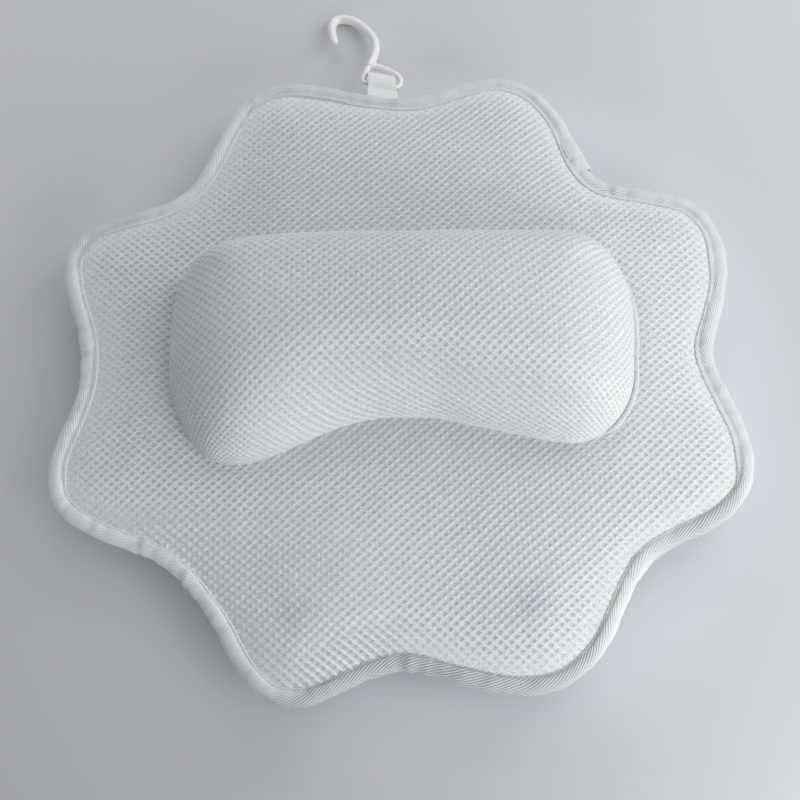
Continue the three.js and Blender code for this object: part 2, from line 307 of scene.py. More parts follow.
_oy = -CUSHION.n[:, 1]
_back, _front = smooth01(_oy, 0.2, 0.9), smooth01(-_oy, 0.2, 0.9)
_lobe = _front * smooth01(-CUSHION.p[:, 0], 30, 75)
ROUND = around(46.0 - 22.0 * _back - 5.0 * _front - 9.0 * _lobe, 3600)  # how far in the wall turns over to the top
LEAN = around(2.0 * _back, 3600)  # how far the wall leans out over its seam
_f = np.linspace(0, math.pi / 2, 260)[None]
_pi = ROUND[:, None] * (1 - np.cos(_f) ** (2 / 2.2))
_pz = CUSHION_H * np.sin(_f) ** (2 / 2.2) + 0 * _pi
_pi = _pi + LEAN[:, None] * np.clip(1 - _pz / 15.0, 0, 1) ** 2
_ps = np.concatenate([np.zeros((len(_pi), 1)), np.cumsum(np.hypot(np.diff(_pi, axis=1), np.diff(_pz, axis=1)), axis=1)], axis=1)
PROFILE_LEN = _ps[:, -1]
SPREAD = PROFILE_LEN - ROUND
DGRID = np.arange(0, PROFILE_LEN.max() + 1.0, 0.5)
T_IN = np.stack([np.interp(DGRID, _ps[k], _pi[k]) for k in range(len(_ps))])
T_Z = np.stack([np.interp(DGRID, _ps[k], _pz[k]) for k in range(len(_ps))])
FLAT_OUT = Ring(CUSHION.p - CUSHION.n * SPREAD[:, None])

CSTEP = 1.5
CU = np.arange(-190.0, 190.01, CSTEP)
CV = np.arange(-118.0, 118.01, CSTEP)
UX, UY = np.meshgrid(CU, CV, indexing="ij")


def cushion_points():
    q = np.stack([UX.ravel(), UY.ravel()], axis=1)
    d, foot, n, at = FLAT_OUT.near(q)
    k = np.floor(at).astype(int) % len(CUSHION.p)
    g = at - np.floor(at)
    k2 = (k + 1) % len(CUSHION.p)

    def along(a):
        return a[k] * (1 - g) + a[k2] * g if a.ndim == 1 else a[k] * (1 - g)[:, None] + a[k2] * g[:, None]

    row = np.clip(d, 0, DGRID[-1] - 0.01) / 0.5
    r0 = row.astype(int)
    rf = row - r0

    def table(t):
        lo = t[k, r0] * (1 - rf) + t[k, r0 + 1] * rf
        hi = t[k2, r0] * (1 - rf) + t[k2, r0 + 1] * rf
        return lo * (1 - g) + hi * g

    ins, z = table(T_IN), table(T_Z)
    length, e0, n_wall = along(PROFILE_LEN), along(SPREAD), along(CUSHION.n)
    f = smooth01(d / length, 0, 1)[:, None]
    xy = foot + e0[:, None] * (n_wall * (1 - f) + n * f) + n * ins[:, None]
    far = d >= length
    xy[far] = q[far]
    z = np.where(d < 0, d, z)
    z = z + 2.0 * (1 - np.exp(-np.maximum(d - 0.7 * length, 0) / 22.0))
    z = np.where(z > 0, z * (1 + (2.2 - 10.0 * (xy[:, 0] / 115.0) ** 2) / CUSHION_H), z)  # arched from end to end
    ahead = np.maximum(16.0 - xy[:, 1], 0)
    most = 16.0 + 7.0 * smooth01(xy[:, 0], 30, 90)
    z = np.where(z > 0, z * (1 - most * np.tanh(ahead**2 / (2 * 112.0) / most) / CUSHION_H), z)  # and falling away to the front
    p = np.stack([xy[:, 0], xy[:, 1], CUSHION_BASE + z], axis=1)
    return p.reshape(UX.shape + (3,)), d.reshape(UX.shape)


CP, CUSHION_IN = cushion_points()
CP = blur(CP, 2)
_w = (smooth01(CUSHION_IN, 10, 34) * (1 - 0.85 * smooth01(CP[:, :, 1], 6, 30)))[:, :, None]
CP = CP * (1 - _w) + blur(CP, 60) * _w  # no ridges where two walls meet
COVER = Panel(CU[0], CV[0], CSTEP, CP)

# ------------------------------------------------------------------ fabric blown up by its filling
def blown(points, ok, held, cap):
    """A coarse grid of fabric pressed out from inside as cloth, with the held points fixed: how far each point went."""
    index = -np.ones(ok.shape, int)
    index[ok] = np.arange(ok.sum())
    a, b, c, d = index[:-1, :-1], index[1:, :-1], index[1:, 1:], index[:-1, 1:]
    whole = (a >= 0) & (b >= 0) & (c >= 0) & (d >= 0)
    quads = np.stack([a[whole], b[whole], c[whole], d[whole]], axis=1)
    me = bpy.data.meshes.new("blown")
    me.from_pydata((points[ok] * 0.001).tolist(), [], quads.tolist())
    ob = bpy.data.objects.new("blown", me)
    scene = bpy.context.scene
    scene.collection.objects.link(ob)
    pins = ob.vertex_groups.new(name="held")
    pins.add(index[ok & held].tolist(), 1.0, "REPLACE")
    mod = ob.modifiers.new("cloth", "CLOTH")
    mod.settings.quality = 6
    mod.settings.use_pressure = True
    mod.settings.uniform_pressure_force = 4.0
    mod.settings.effector_weights.gravity = 0.0
    mod.settings.vertex_group_mass = "held"
    mod.collision_settings.use_collision = False
    mod.point_cache.frame_start, mod.point_cache.frame_end = 1, 20
    first = scene.frame_current
    for f in range(1, 21):
        scene.frame_set(f)
    got = ob.evaluated_get(bpy.context.evaluated_depsgraph_get()).data
    co = np.empty(len(got.vertices) * 3)
    got.vertices.foreach_get("co", co)
    moved = co.reshape(-1, 3) * 1000 - points[ok]
    scene.frame_set(first)
    bpy.data.objects.remove(ob)
    bpy.data.meshes.remove(me)
    far = np.linalg.norm(moved, axis=1, keepdims=True)
    out = np.zeros(ok.shape + (3,))
    out[ok] = moved * cap * np.tanh(far / cap) / np.maximum(far, 1e-9)
    return out


def finer(coarse, step, shape):
    """A coarse grid of values spread over the fine grid that it was taken from, every step points."""
    x, y = np.arange(shape[0]) / step, np.arange(shape[1]) / step
    i, j = np.minimum(x.astype(int), coarse.shape[0] - 2), np.minimum(y.astype(int), coarse.shape[1] - 2)
    f, g = np.clip(x - i, 0, 1)[:, None, None], np.clip(y - j, 0, 1)[None, :, None]
    lo = coarse[i][:, j] * (1 - f) + coarse[i + 1][:, j] * f
    hi = coarse[i][:, j + 1] * (1 - f) + coarse[i + 1][:, j + 1] * f
    return lo * (1 - g) + hi * g


# the pad's front starts flatter and the cushion smaller, and the filling brings them up to size
_far = np.minimum(INSET, -FROM_CUSHION)
_start = FRONT.p - np.array([0, 0, 1.0]) * (0.8 * smooth01(_far, 8, 36))[:, :, None]
_in = INSET[::4, ::4]
_go = blown(_start[::4, ::4], _in > 4.0, (_in < 10.5) | (FROM_CUSHION[::4, ::4] > -2.0), 1.1)
FRONT.set(_start + blur(finer(_go, 4, INSET.shape), 40))
_less = np.interp(CUSHION_IN, [0, 8, 16, 24, 32, 40, 48, 56, 64, 72], [0, 0.1, 0.3, 0.42, 0.45, 0.55, 0.7, 0.85, 1.0, 1.05])
_start = CP - COVER.n * _less[:, :, None]
_ci = CUSHION_IN[::3, ::3]
_go = blown(_start[::3, ::3], _ci > -3.0, _ci < 2.5, 1.2)
COVER.set(_start + blur(finer(_go, 3, UX.shape), 16))

# ------------------------------------------------------------------ knitted mesh with open cells
PITCH_X, PITCH_Y = 5.7, 5.08
RIB = 0.42  # half the length of the upright rib between two cells
# round a cell, in quarters of the pitch: ends of ribs (+1 upper, -1 lower) and the middles of the slanted strands
CELL_RING = np.array([(2, 0, 1), (1, 1, 0), (0, 2, -1), (-1, 1, 0), (-2, 0, 1), (-2, 0, -1), (-1, -1, 0), (0, -2, 1), (1, -1, 0), (2, 0, -1)])


def cells_between(x0, x1, y0, y1):
    i = np.arange(math.floor(2 * x0 / PITCH_X), math.ceil(2 * x1 / PITCH_X) + 1)
    j = np.arange(math.floor(2 * y0 / PITCH_Y), math.ceil(2 * y1 / PITCH_Y) + 1)
    ii, jj = np.meshgrid(i, j, indexing="ij")
    ok = (ii + jj) % 2 == 0
    return np.stack([ii[ok], jj[ok]], axis=1)


def knit(panel, cells, open_cells, seed, hole=(1.48, 1.18), knot=0.2, strand=0.14, rim=0.0, deep=0.2, lining=None, detail=2, fade=None, lean=None, dots=None, clear=None):
    """Points, faces, and a value that is near 0 on the net and 1 on the floor of the cells, which the material makes
    into painted shade on the floors. Where lean is above 0 the strands that rise to the right stand higher than those
    that fall and are painted lighter, a painted highlight, and below 0 the other way round; where dots is above 0 the
    ribs stand out from the strands and are painted lighter, and where clear is below 1 the cells show less: their
    painted shade is evened out towards a plain tone."""
    rng = np.random.default_rng(seed)
    n = len(cells)
    code = ((2 * cells[:, :1] + CELL_RING[:, 0] + 4000) * 10000 + (2 * cells[:, 1:] + CELL_RING[:, 1] + 4000)) * 3 + CELL_RING[:, 2] + 1
    uniq, ring = np.unique(code.ravel(), return_inverse=True)
    ring = ring.reshape(n, 10)
    kx, ky, side = uniq // 30000 - 4000, uniq // 3 % 10000 - 4000, uniq % 3 - 1
    is_knot = side != 0

    def warp(uv):
        w = np.stack([0.55 * waves(uv[:, 0], uv[:, 1], seed + 1, 70), 0.55 * waves(uv[:, 0], uv[:, 1], seed + 2, 70)], axis=1)
        return uv + w

    def relief(uv):
        return np.ones(len(uv)) if fade is None else fade(uv)

    ruv = np.stack([kx * PITCH_X / 4, ky * PITCH_Y / 4 + RIB * side], axis=1)
    jit = np.clip(rng.normal(0, 0.08, ruv.shape), -0.08, 0.08)
    p, nn = panel.at(warp(ruv + jit))
    tip = np.zeros(len(ruv)) if lean is None else lean(ruv, nn)
    rising = ((kx - 1) // 2 + (ky - 1) // 2) % 2 == 1
    ahead = tip * np.where(rising, 1, -1)
    dot = np.zeros(len(ruv)) if dots is None else dots(ruv)
    rise = np.where(is_knot, knot - 0.06 * np.abs(tip) + 0.08 * dot, strand + 0.16 * ahead) + rng.normal(0, 0.03, len(ruv))
    much = np.minimum(np.abs(tip), 1.6 - np.abs(tip))  # where the lean is strong, the ribs are painted lighter again and join the strands' painted highlight into lines
    shade = np.where(is_knot, 0.09 + 0.26 * much - 0.09 * dot, 0.14 - 0.3 * ahead + 0.12 * dot)
    shade = np.clip(shade + rng.normal(0, 0.04, len(ruv)), 0, 0.6)

    def shown(uv, value):
        plain = 0.2 if dots is None else 0.2 + 0.26 * dots(uv)
        return value if clear is None else plain + (value - plain) * clear(uv)

    shade = np.where(is_knot & (dot > 0.5), shade, shown(ruv, shade))
    ring_pts = p + nn * (rise * relief(ruv))[:, None]

    oc = np.flatnonzero(open_cells)
    m = len(oc)
    mid = np.stack([cells[oc, 0] * PITCH_X / 2, cells[oc, 1] * PITCH_Y / 2], axis=1) + np.clip(rng.normal(0, 0.06, (m, 2)), -0.06, 0.06)
    size = 1 + np.clip(rng.normal(0, 0.06, m), -0.1, 0.03)
    ang = [k * math.pi / 4 for k in range(8)]
    rim_off = np.array([(hole[0] * math.cos(a), hole[1] * math.sin(a)) for a in ang])
    if detail == 2:
        tip = np.zeros(m) if lean is None else lean(mid, panel.at(mid)[1])
        size = size * (0.86 + 0.14 * np.clip(np.abs(tip), 0, 1))
        wide = 1 + 0.06 * np.clip(tip, -1, 1)[:, None] * np.array([0, 1, 0, -1, 0, 1, 0, -1])[None]
        ruv8 = mid[:, None, :] + rim_off[None] * (size[:, None] * wide)[:, :, None]
        p, nn = panel.at(warp(ruv8.reshape(-1, 2)))
        rim_pts = p + nn * (rim * relief(ruv8.reshape(-1, 2)))[:, None]
        low = mid[:, None, :] + rim_off[None, ::2] * (0.84 * size)[:, None, None]
        p, nn = panel.at(warp(low.reshape(-1, 2)))
        low_pts = p - nn * (deep * relief(low.reshape(-1, 2)))[:, None]
        base = len(ring_pts)
        rim_i = base + np.arange(m * 8).reshape(m, 8)
        low_i = base + m * 8 + np.arange(m * 4).reshape(m, 4)
        faces = []
        rg = ring[oc]
        for k in range(8):
            k2, a = (k + 1) % 8, k + (k > 3)
            faces.append(np.stack([rg[:, a], rg[:, a + 1], rim_i[:, k2]], 1))
            faces.append(np.stack([rg[:, a], rim_i[:, k2], rim_i[:, k]], 1))
        faces.append(np.stack([rg[:, 4], rg[:, 5], rim_i[:, 4]], 1))
        faces.append(np.stack([rg[:, 9], rg[:, 0], rim_i[:, 0]], 1))
        for k in range(4):
            a, b, c = 2 * k, 2 * k + 1, (2 * k + 2) % 8
            l0, l1 = low_i[:, k], low_i[:, (k + 1) % 4]
            faces.append(np.stack([rim_i[:, a], rim_i[:, b], l0], 1))
            faces.append(np.stack([rim_i[:, b], l1, l0], 1))
            faces.append(np.stack([rim_i[:, b], rim_i[:, c], l1], 1))
        faces.append(np.stack([low_i[:, 0], low_i[:, 1], low_i[:, 2]], 1))
        faces.append(np.stack([low_i[:, 0], low_i[:, 2], low_i[:, 3]], 1))
        pts = [ring_pts, rim_pts, low_pts]
        # painted highlight: the rims beside the strands that stand higher are painted lighter too, and those beside the
        # others darker
        side = 0.46 - 0.17 * np.clip(tip, -1.4, 1.3)[:, None] * np.array([0, -1, 0, 1, 0, -1, 0, 1])[None]
        well = [shade, shown(np.repeat(mid, 8, axis=0), side.ravel()), np.repeat(shown(mid, np.full(m, 0.62)), 4)]
    else:
        ruv4 = mid[:, None, :] + rim_off[None, ::2] * size[:, None, None]
        p, nn = panel.at(warp(ruv4.reshape(-1, 2)))
        rim_pts = p + nn * rim
        p, nn = panel.at(warp(mid))
        low_pts = p - nn * deep
        base = len(ring_pts)
        rim_i = base + np.arange(m * 4).reshape(m, 4)
        low_i = base + m * 4 + np.arange(m)
        faces = []
        rg = ring[oc]
        for k in range(4):
            a = 2 * k + (k > 1)
            b, c = a + 1, a + 2
            r0, r1 = rim_i[:, k], rim_i[:, (k + 1) % 4]
            faces.append(np.stack([rg[:, a], rg[:, b], r0], 1))
            faces.append(np.stack([rg[:, b], r1, r0], 1))
            faces.append(np.stack([rg[:, b], rg[:, c], r1], 1))
            faces.append(np.stack([r0, r1, low_i], 1))
        faces.append(np.stack([rg[:, 4], rg[:, 5], rim_i[:, 2]], 1))
        faces.append(np.stack([rg[:, 9], rg[:, 0], rim_i[:, 0]], 1))
        pts = [ring_pts, rim_pts, low_pts]
        well = [shade, np.full(m * 4, 0.5), np.ones(m)]

    shut = np.flatnonzero(~open_cells)
    if len(shut):
        mid = np.stack([cells[shut, 0] * PITCH_X / 2, cells[shut, 1] * PITCH_Y / 2], axis=1)
        p, nn = panel.at(warp(mid))
        mid_i = sum(len(x) for x in pts) + np.arange(len(shut))
        pts.append(p)
        well.append(np.full(len(shut), 0.4))
        rg = ring[shut]
        for k in range(10):
            faces.append(np.stack([rg[:, k], rg[:, (k + 1) % 10], mid_i], 1))

    if lining is not None:  # a plain inner face, so that the fabric is a closed layer of its own thickness
        p, nn = panel.at(warp(ruv))
        off = sum(len(x) for x in pts)
        pts.append(p - nn * lining)
        well.append(np.zeros(len(ruv)))
        for k in range(1, 9):
            faces.append(np.stack([off + ring[:, 0], off + ring[:, k + 1], off + ring[:, k]], 1))
        # walls round the free edge
        e = np.stack([ring, np.roll(ring, -1, 1)], axis=2).reshape(-1, 2)
        seen = {}
        for a, b in e.tolist():
            seen[(a, b)] = True
        free = np.array([(a, b) for a, b in seen if (b, a) not in seen])
        a, b = free[:, 0], free[:, 1]
        faces.append(np.stack([b, a, off + a], 1))
        faces.append(np.stack([b, off + a, off + b], 1))
    return np.concatenate(pts), np.concatenate(faces), np.concatenate(well)


def close_below(ob, z_flat, pockets=()):
    """Walls from each free edge to a flat level, and a flat fill there; round a pocket the wall steps out first."""
    bm = bmesh.new()
    bm.from_mesh(ob.data)
    lvl = z_flat * 0.001
    free = [e for e in bm.edges if e.is_boundary]
    got = bmesh.ops.extrude_edge_only(bm, edges=free)["geom"]
    vs = [v for v in got if isinstance(v, bmesh.types.BMVert)]
    es = [e for e in got if isinstance(e, bmesh.types.BMEdge)]
    if pockets:
        inner = []
        for v in vs:
            for cx, cy, r_in, z_in in pockets:
                w = Vector((v.co.x - cx, v.co.y - cy))
                if w.length < 0.012:
                    w = w.normalized() * r_in
                    v.co = (cx + w.x, cy + w.y, z_in)
                    inner.append((v, cx, cy))
                    break
            else:
                v.co.z = lvl
        if inner:
            near = {v for v, _, _ in inner}
            e2 = [e for e in es if e.verts[0] in near]
            es = [e for e in es if e.verts[0] not in near]
            for r_out, z_out in ((0.0094, 0.0187), (0.0094, lvl)):
                got = bmesh.ops.extrude_edge_only(bm, edges=e2)["geom"]
                for v in (g for g in got if isinstance(g, bmesh.types.BMVert)):
                    cx, cy = min(((p[0], p[1]) for p in pockets), key=lambda c: (v.co.x - c[0]) ** 2 + (v.co.y - c[1]) ** 2)
                    w = Vector((v.co.x - cx, v.co.y - cy)).normalized() * r_out
                    v.co = (cx + w.x, cy + w.y, z_out)
                e2 = [g for g in got if isinstance(g, bmesh.types.BMEdge)]
            es = es + e2
    else:
        for v in vs:
            v.co.z = lvl
    flat = list(dict.fromkeys(v for e in es for v in e.verts))
    at = {v: i for i, v in enumerate(flat)}
    got = delaunay_2d_cdt([v.co.xy for v in flat], [(at[e.verts[0]], at[e.verts[1]]) for e in es], [], 1, 1e-7)
    to = [flat[o[0]] if o and o[0] < len(flat) else bm.verts.new((q.x, q.y, lvl)) for q, o in zip(got[0], got[3])]
    for f in got[2]:
        m = sum((got[0][i] for i in f), Vector((0, 0))) / len(f)
        if len({to[i] for i in f}) == len(f) and all(math.hypot(m.x - q[0], m.y - q[1]) > 0.0092 for q in pockets):
            bm.faces.new([to[i] for i in f])
    bmesh.ops.recalc_face_normals(bm, faces=bm.faces)
    bm.to_mesh(ob.data)
    bm.free()
    ob.data.polygons.foreach_set("use_smooth", np.ones(len(ob.data.polygons), bool))


def cell_mids(cells):
    return np.stack([cells[:, 0] * PITCH_X / 2, cells[:, 1] * PITCH_Y / 2], axis=1)


def inset_at(xy):
    return EDGE.near(xy)[0]


# ------------------------------------------------------------------ materials
def principled(name):
    m = bpy.data.materials.new(name)
    m.use_nodes = True
    return m, m.node_tree, m.node_tree.nodes["Principled BSDF"]


def knit_material(name, strand, floor, shade_under=False):
    m, nt, bsdf = principled(name)
    bsdf.inputs["Roughness"].default_value = 0.62
    bsdf.inputs["Sheen Weight"].default_value = 0.25
    bsdf.inputs["Sheen Roughness"].default_value = 0.5
    bsdf.inputs["Specular IOR Level"].default_value = 0.35
    well = nt.nodes.new("ShaderNodeAttribute")
    well.attribute_name = "well"
    mix = nt.nodes.new("ShaderNodeMix")
    mix.data_type = "RGBA"
    mix.inputs["A"].default_value = (*strand, 1)
    mix.inputs["B"].default_value = (*floor, 1)
    crisp = nt.nodes.new("ShaderNodeMapRange")
    crisp.interpolation_type = "SMOOTHSTEP"
    for name_, value in (("From Min", 0.02), ("From Max", 0.55), ("To Min", 0.0), ("To Max", 1.0)):
        crisp.inputs[name_].default_value = value
    nt.links.new(well.outputs["Fac"], crisp.inputs["Value"])
    nt.links.new(crisp.outputs["Result"], mix.inputs["Factor"])
    colour = mix.outputs["Result"]
    co = nt.nodes.new("ShaderNodeTexCoord")
    fuzz = nt.nodes.new("ShaderNodeTexNoise")
    fuzz.inputs["Scale"].default_value = 1400
    fuzz.inputs["Detail"].default_value = 3
    nt.links.new(co.outputs["Object"], fuzz.inputs["Vector"])
    spread = nt.nodes.new("ShaderNodeMapRange")
    for name_, value in (("From Min", 0.3), ("From Max", 0.7), ("To Min", 0.78), ("To Max", 1.18)):
        spread.inputs[name_].default_value = value
    nt.links.new(fuzz.outputs["Fac"], spread.inputs["Value"])
    fleck = nt.nodes.new("ShaderNodeMix")
    fleck.data_type = "RGBA"
    fleck.blend_type = "MULTIPLY"
    fleck.inputs["Factor"].default_value = 1.0
    nt.links.new(colour, fleck.inputs["A"])
    nt.links.new(spread.outputs["Result"], fleck.inputs["B"])
    colour = fleck.outputs["Result"]
    if shade_under:
        # painted shade over the cups, tinted blue for the cup seen through the mesh
        under = nt.nodes.new("ShaderNodeAttribute")
        under.attribute_name = "under"
        dim = nt.nodes.new("ShaderNodeMix")
        dim.data_type = "RGBA"
        dim.blend_type = "MULTIPLY"
        dim.inputs["B"].default_value = (0.66, 0.71, 0.82, 1)
        nt.links.new(under.outputs["Fac"], dim.inputs["Factor"])
        nt.links.new(colour, dim.inputs["A"])
        colour = dim.outputs["Result"]
    nt.links.new(colour, bsdf.inputs["Base Color"])
    yarn = nt.nodes.new("ShaderNodeTexNoise")
    yarn.inputs["Scale"].default_value = 1900
    yarn.inputs["Detail"].default_value = 2
    nt.links.new(co.outputs["Object"], yarn.inputs["Vector"])
    bump = nt.nodes.new("ShaderNodeBump")
    bump.inputs["Strength"].default_value = 0.25
    bump.inputs["Distance"].default_value = 0.0002
    nt.links.new(yarn.outputs["Fac"], bump.inputs["Height"])
    nt.links.new(bump.outputs["Normal"], bsdf.inputs["Normal"])
    return m


def cloth_material(name, colour, scale=2600, strength=0.3, rough=0.7):
    m, nt, bsdf = principled(name)
    bsdf.inputs["Base Color"].default_value = (*colour, 1)
    bsdf.inputs["Roughness"].default_value = rough
    bsdf.inputs["Sheen Weight"].default_value = 0.3
    bsdf.inputs["Specular IOR Level"].default_value = 0.3
    co = nt.nodes.new("ShaderNodeTexCoord")
    yarn = nt.nodes.new("ShaderNodeTexNoise")
    yarn.inputs["Scale"].default_value = scale
    yarn.inputs["Detail"].default_value = 2
    nt.links.new(co.outputs["Object"], yarn.inputs["Vector"])
    bump = nt.nodes.new("ShaderNodeBump")
    bump.inputs["Strength"].default_value = strength
    bump.inputs["Distance"].default_value = 0.0002
    nt.links.new(yarn.outputs["Fac"], bump.inputs["Height"])
    nt.links.new(bump.outputs["Normal"], bsdf.inputs["Normal"])
    return m


# the second colour of each knit material is painted shade for the floors of the cells, the first the lighter net
STRAND, WELL = (0.905, 0.913, 0.93), (0.62, 0.627, 0.645)
MESH_FRONT = knit_material("spacer_mesh_front", STRAND, WELL, True)
MESH_WHITE = knit_material("spacer_mesh", STRAND, WELL)
MESH_COVER = knit_material("spacer_mesh_cover", (0.868, 0.873, 0.888), (0.645, 0.65, 0.665))


def twill_material(name, ridge, groove):
    m = cloth_material(name, ridge)
    nt = m.node_tree
    # the groove value mixes in the dark groove colour: painted shade in the twill's furrows, and painted light and
    # shade along the edge
    at = nt.nodes.new("ShaderNodeAttribute")
    at.attribute_name = "groove"
    mix = nt.nodes.new("ShaderNodeMix")
    mix.data_type = "RGBA"
    mix.inputs["A"].default_value = (*ridge, 1)
    mix.inputs["B"].default_value = (*groove, 1)
    nt.links.new(at.outputs["Fac"], mix.inputs["Factor"])
    nt.links.new(mix.outputs["Result"], nt.nodes["Principled BSDF"].inputs["Base Color"])
    return m


MESH_ROLL = cloth_material("spacer_mesh_roll", (0.70, 0.707, 0.725), 1100, 0.5)
TAPE_WHITE = cloth_material("tape", (0.70, 0.705, 0.715))
# the second colour is painted shade for the furrows of the white tape
TAPE_TWILL = twill_material("twill_tape", (0.93, 0.94, 0.955), (0.30, 0.304, 0.314))
WEB_WHITE = cloth_material("webbing", (0.92, 0.925, 0.935))
THREAD_WHITE = cloth_material("thread", (0.84, 0.845, 0.855), 4000, 0.2)
FILL_WHITE = cloth_material("stuffing", (0.8, 0.8, 0.8), 700, 0.5, 0.9)

hook_plastic, _nt, _b = principled("hook_plastic")
_b.inputs["Base Color"].default_value = (0.95, 0.95, 0.965, 1)
_b.inputs["Roughness"].default_value = 0.3
_b.inputs["Coat Weight"].default_value = 0.2
_b.inputs["Subsurface Weight"].default_value = 0.1
_b.inputs["Subsurface Scale"].default_value = 0.002

vinyl, _nt, _b = principled("clear_vinyl")
_b.inputs["Base Color"].default_value = (0.82, 0.91, 0.97, 1)
_b.inputs["Roughness"].default_value = 0.12
_b.inputs["IOR"].default_value = 1.5
_b.inputs["Transmission Weight"].default_value = 0.82


def dress(ob, body, slot, material, *nodes):
    ob.data.materials.clear()
    ob.data.materials.append(material)
    if nodes:
        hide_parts(*nodes)
    if body:
        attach(ob, body)
    return ob


# ------------------------------------------------------------------ pad front
cells = cells_between(-205, 205, -205, 205)
mids = cell_mids(cells)
d_edge = inset_at(mids)
keep = d_edge > 4.8
cells, mids, d_edge = cells[keep], mids[keep], d_edge[keep]
hidden = (CUSHION.near(mids)[0] > 5.0) | (d_edge < 7.4)  # below the cushion or the tape


def drawn(uv):
    """1 along the part of the lower edge where the binding draws the mesh into short ridges."""
    a = np.degrees(np.arctan2(uv[:, 1], uv[:, 0]))
    return np.exp(-(((a + 101) / 10.0) ** 2)) * (1 - smooth01(inset_at(uv), 19.0, 27.0))


def front_relief(uv):
    flat = 0.25 + 0.75 * smooth01(inset_at(uv), 9.0, 24.0)
    return np.maximum(flat * (1 - 0.5 * front_dots(uv)), 1.25 * drawn(uv))


# where the strands that stand higher are painted lighter across the pad's front, a painted highlight
def front_lean(uv, _):
    x, y = uv[:, 0], uv[:, 1]
    d = inset_at(uv)
    lean = smooth01(x, -135, -45) * (1 - 0.8 * smooth01(x, 98, 128) * (1 - smooth01(np.abs(y), 65, 105)))
    lean = lean * (1 - 0.5 * smooth01(-y, 50, 80) * (1 - smooth01(x, -10, 60)))
    lean = lean * (0.9 + 0.5 * smooth01(y, 50, 110))
    low = smooth01(-y, 105, 150) * (1 - smooth01(d, 14, 38))
    up = smooth01(y, 40, 80)
    return 0.05 + 0.85 * lean * (0.1 + 0.9 * smooth01(d, 12 - 3 * up, 40 - 18 * up)) * (1 - low) - 0.5 * low - 1.3 * drawn(uv)


def front_dots(uv):
    """1 at the lower left, where the ribs of the mesh shine."""
    return smooth01(-uv[:, 0], -40, 60) * smooth01(-uv[:, 1], 70, 115) * (1 - np.clip(2 * drawn(uv), 0, 1))


def front_clear(uv):
    d = inset_at(uv)
    left = smooth01(-uv[:, 0], 0, 60)
    edge = (0.3 + 0.7 * smooth01(d, 10.0, 26.0)) * (1 - left * (0.6 - 0.6 * smooth01(d, 14.0, 52.0)))
    return np.maximum(edge * (1 - 0.85 * front_dots(uv)), np.clip(1.6 * drawn(uv), 0, 1))


verts, faces, well = knit(FRONT, cells, ~hidden, 20, fade=front_relief, lean=front_lean, dots=front_dots, clear=front_clear)
pad_front = make("pad_front", verts, faces)
n_top = len(verts)
close_below(pad_front, 22.65)
v_now = np.empty(len(pad_front.data.vertices) * 3)
pad_front.data.vertices.foreach_get("co", v_now)
v_now = v_now.reshape(-1, 3) * 1000 - SHIFT
w = np.zeros(len(v_now))
w[:n_top] = well
point_values(pad_front, "well", w)
# partly painted shade: over each cup the floors of the cells are dimmed and tinted blue, for the cup seen through the
# mesh in the shade below it
u = np.zeros(len(v_now))
for key, (cx, cy) in CUPS.items():
    r = np.hypot(v_now[:, 0] - cx, v_now[:, 1] - cy)
    u += {"top_left": 0.3, "top_right": 0.25, "bottom_left": 0.85, "bottom_right": 0.9}[key] * np.exp(-((r / 8.5) ** 2))
point_values(pad_front, "under", u * (0.15 + 0.85 * w))
dress(pad_front, "pad", "spacer_mesh", MESH_FRONT, "pad_front_mesh")

# ------------------------------------------------------------------ pad back
cells = cells_between(-205, 205, -205, 205)
mids = cell_mids(cells)
real = mids * np.array([-1.0, 1.0])
keep = inset_at(real) > 5.6
for cx, cy in CUPS.values():
    keep &= np.hypot(real[:, 0] - cx, real[:, 1] - cy) > 8.0
cells = cells[keep]
verts, faces, well = knit(BACK, cells, np.ones(len(cells), bool), 40, detail=1)
pad_back = make("pad_back", verts, faces)
n_top = len(verts)
pockets = [((cx + SHIFT[0]) * 0.001, (cy + SHIFT[1]) * 0.001, 0.0052, 0.0186) for cx, cy in CUPS.values()]
close_below(pad_back, 22.35, pockets)
w = np.zeros(len(pad_back.data.vertices))
w[:n_top] = well
point_values(pad_back, "well", w)
dress(pad_back, "pad", "spacer_mesh", MESH_WHITE, "pad_back_mesh")

# ------------------------------------------------------------------ head cushion
cells = cells_between(-185, 185, -110, 110)
mids = cell_mids(cells)
d_flat = FLAT_OUT.near(mids)[0]
cells = cells[d_flat > -5.0]


def cover_relief(uv):
    return 0.35 + 0.65 * smooth01(FLAT_OUT.near(uv)[0], 1.0, 12.0)


# the same painted highlight on the cushion, set by which way its surface faces
def cover_lean(uv, n):
    top, low = 1 - smooth01(-n[:, 1], 0.22, 0.55), smooth01(-n[:, 1], 0.46, 0.78)
    lean = 0.9 * top * smooth01(uv[:, 0], -110, 0) - 1.2 * low * smooth01(uv[:, 0], -130, -60)
    return lean * (1 - 0.7 * smooth01(np.abs(n[:, 0]), 0.4, 0.75))


def cover_clear(uv):
    return (0.3 + 0.7 * smooth01(FLAT_OUT.near(uv)[0], 1.0, 14.0)) * (1 - 0.62 * smooth01(-uv[:, 0], -10, 80))


def cover_dots(uv):
    """1 at the left of the top, where the ribs of the mesh shine."""
    return 0.5 * smooth01(-uv[:, 0], 0, 70) * smooth01(-uv[:, 1], -20, 20)


verts, faces, well = knit(COVER, cells, np.ones(len(cells), bool), 60, lining=2.6, fade=cover_relief, lean=cover_lean, dots=cover_dots, clear=cover_clear)
cushion = make("head_cushion", verts, faces)
point_values(cushion, "well", well)
dress(cushion, "pad", "spacer_mesh", MESH_COVER, "head_cushion_cover")


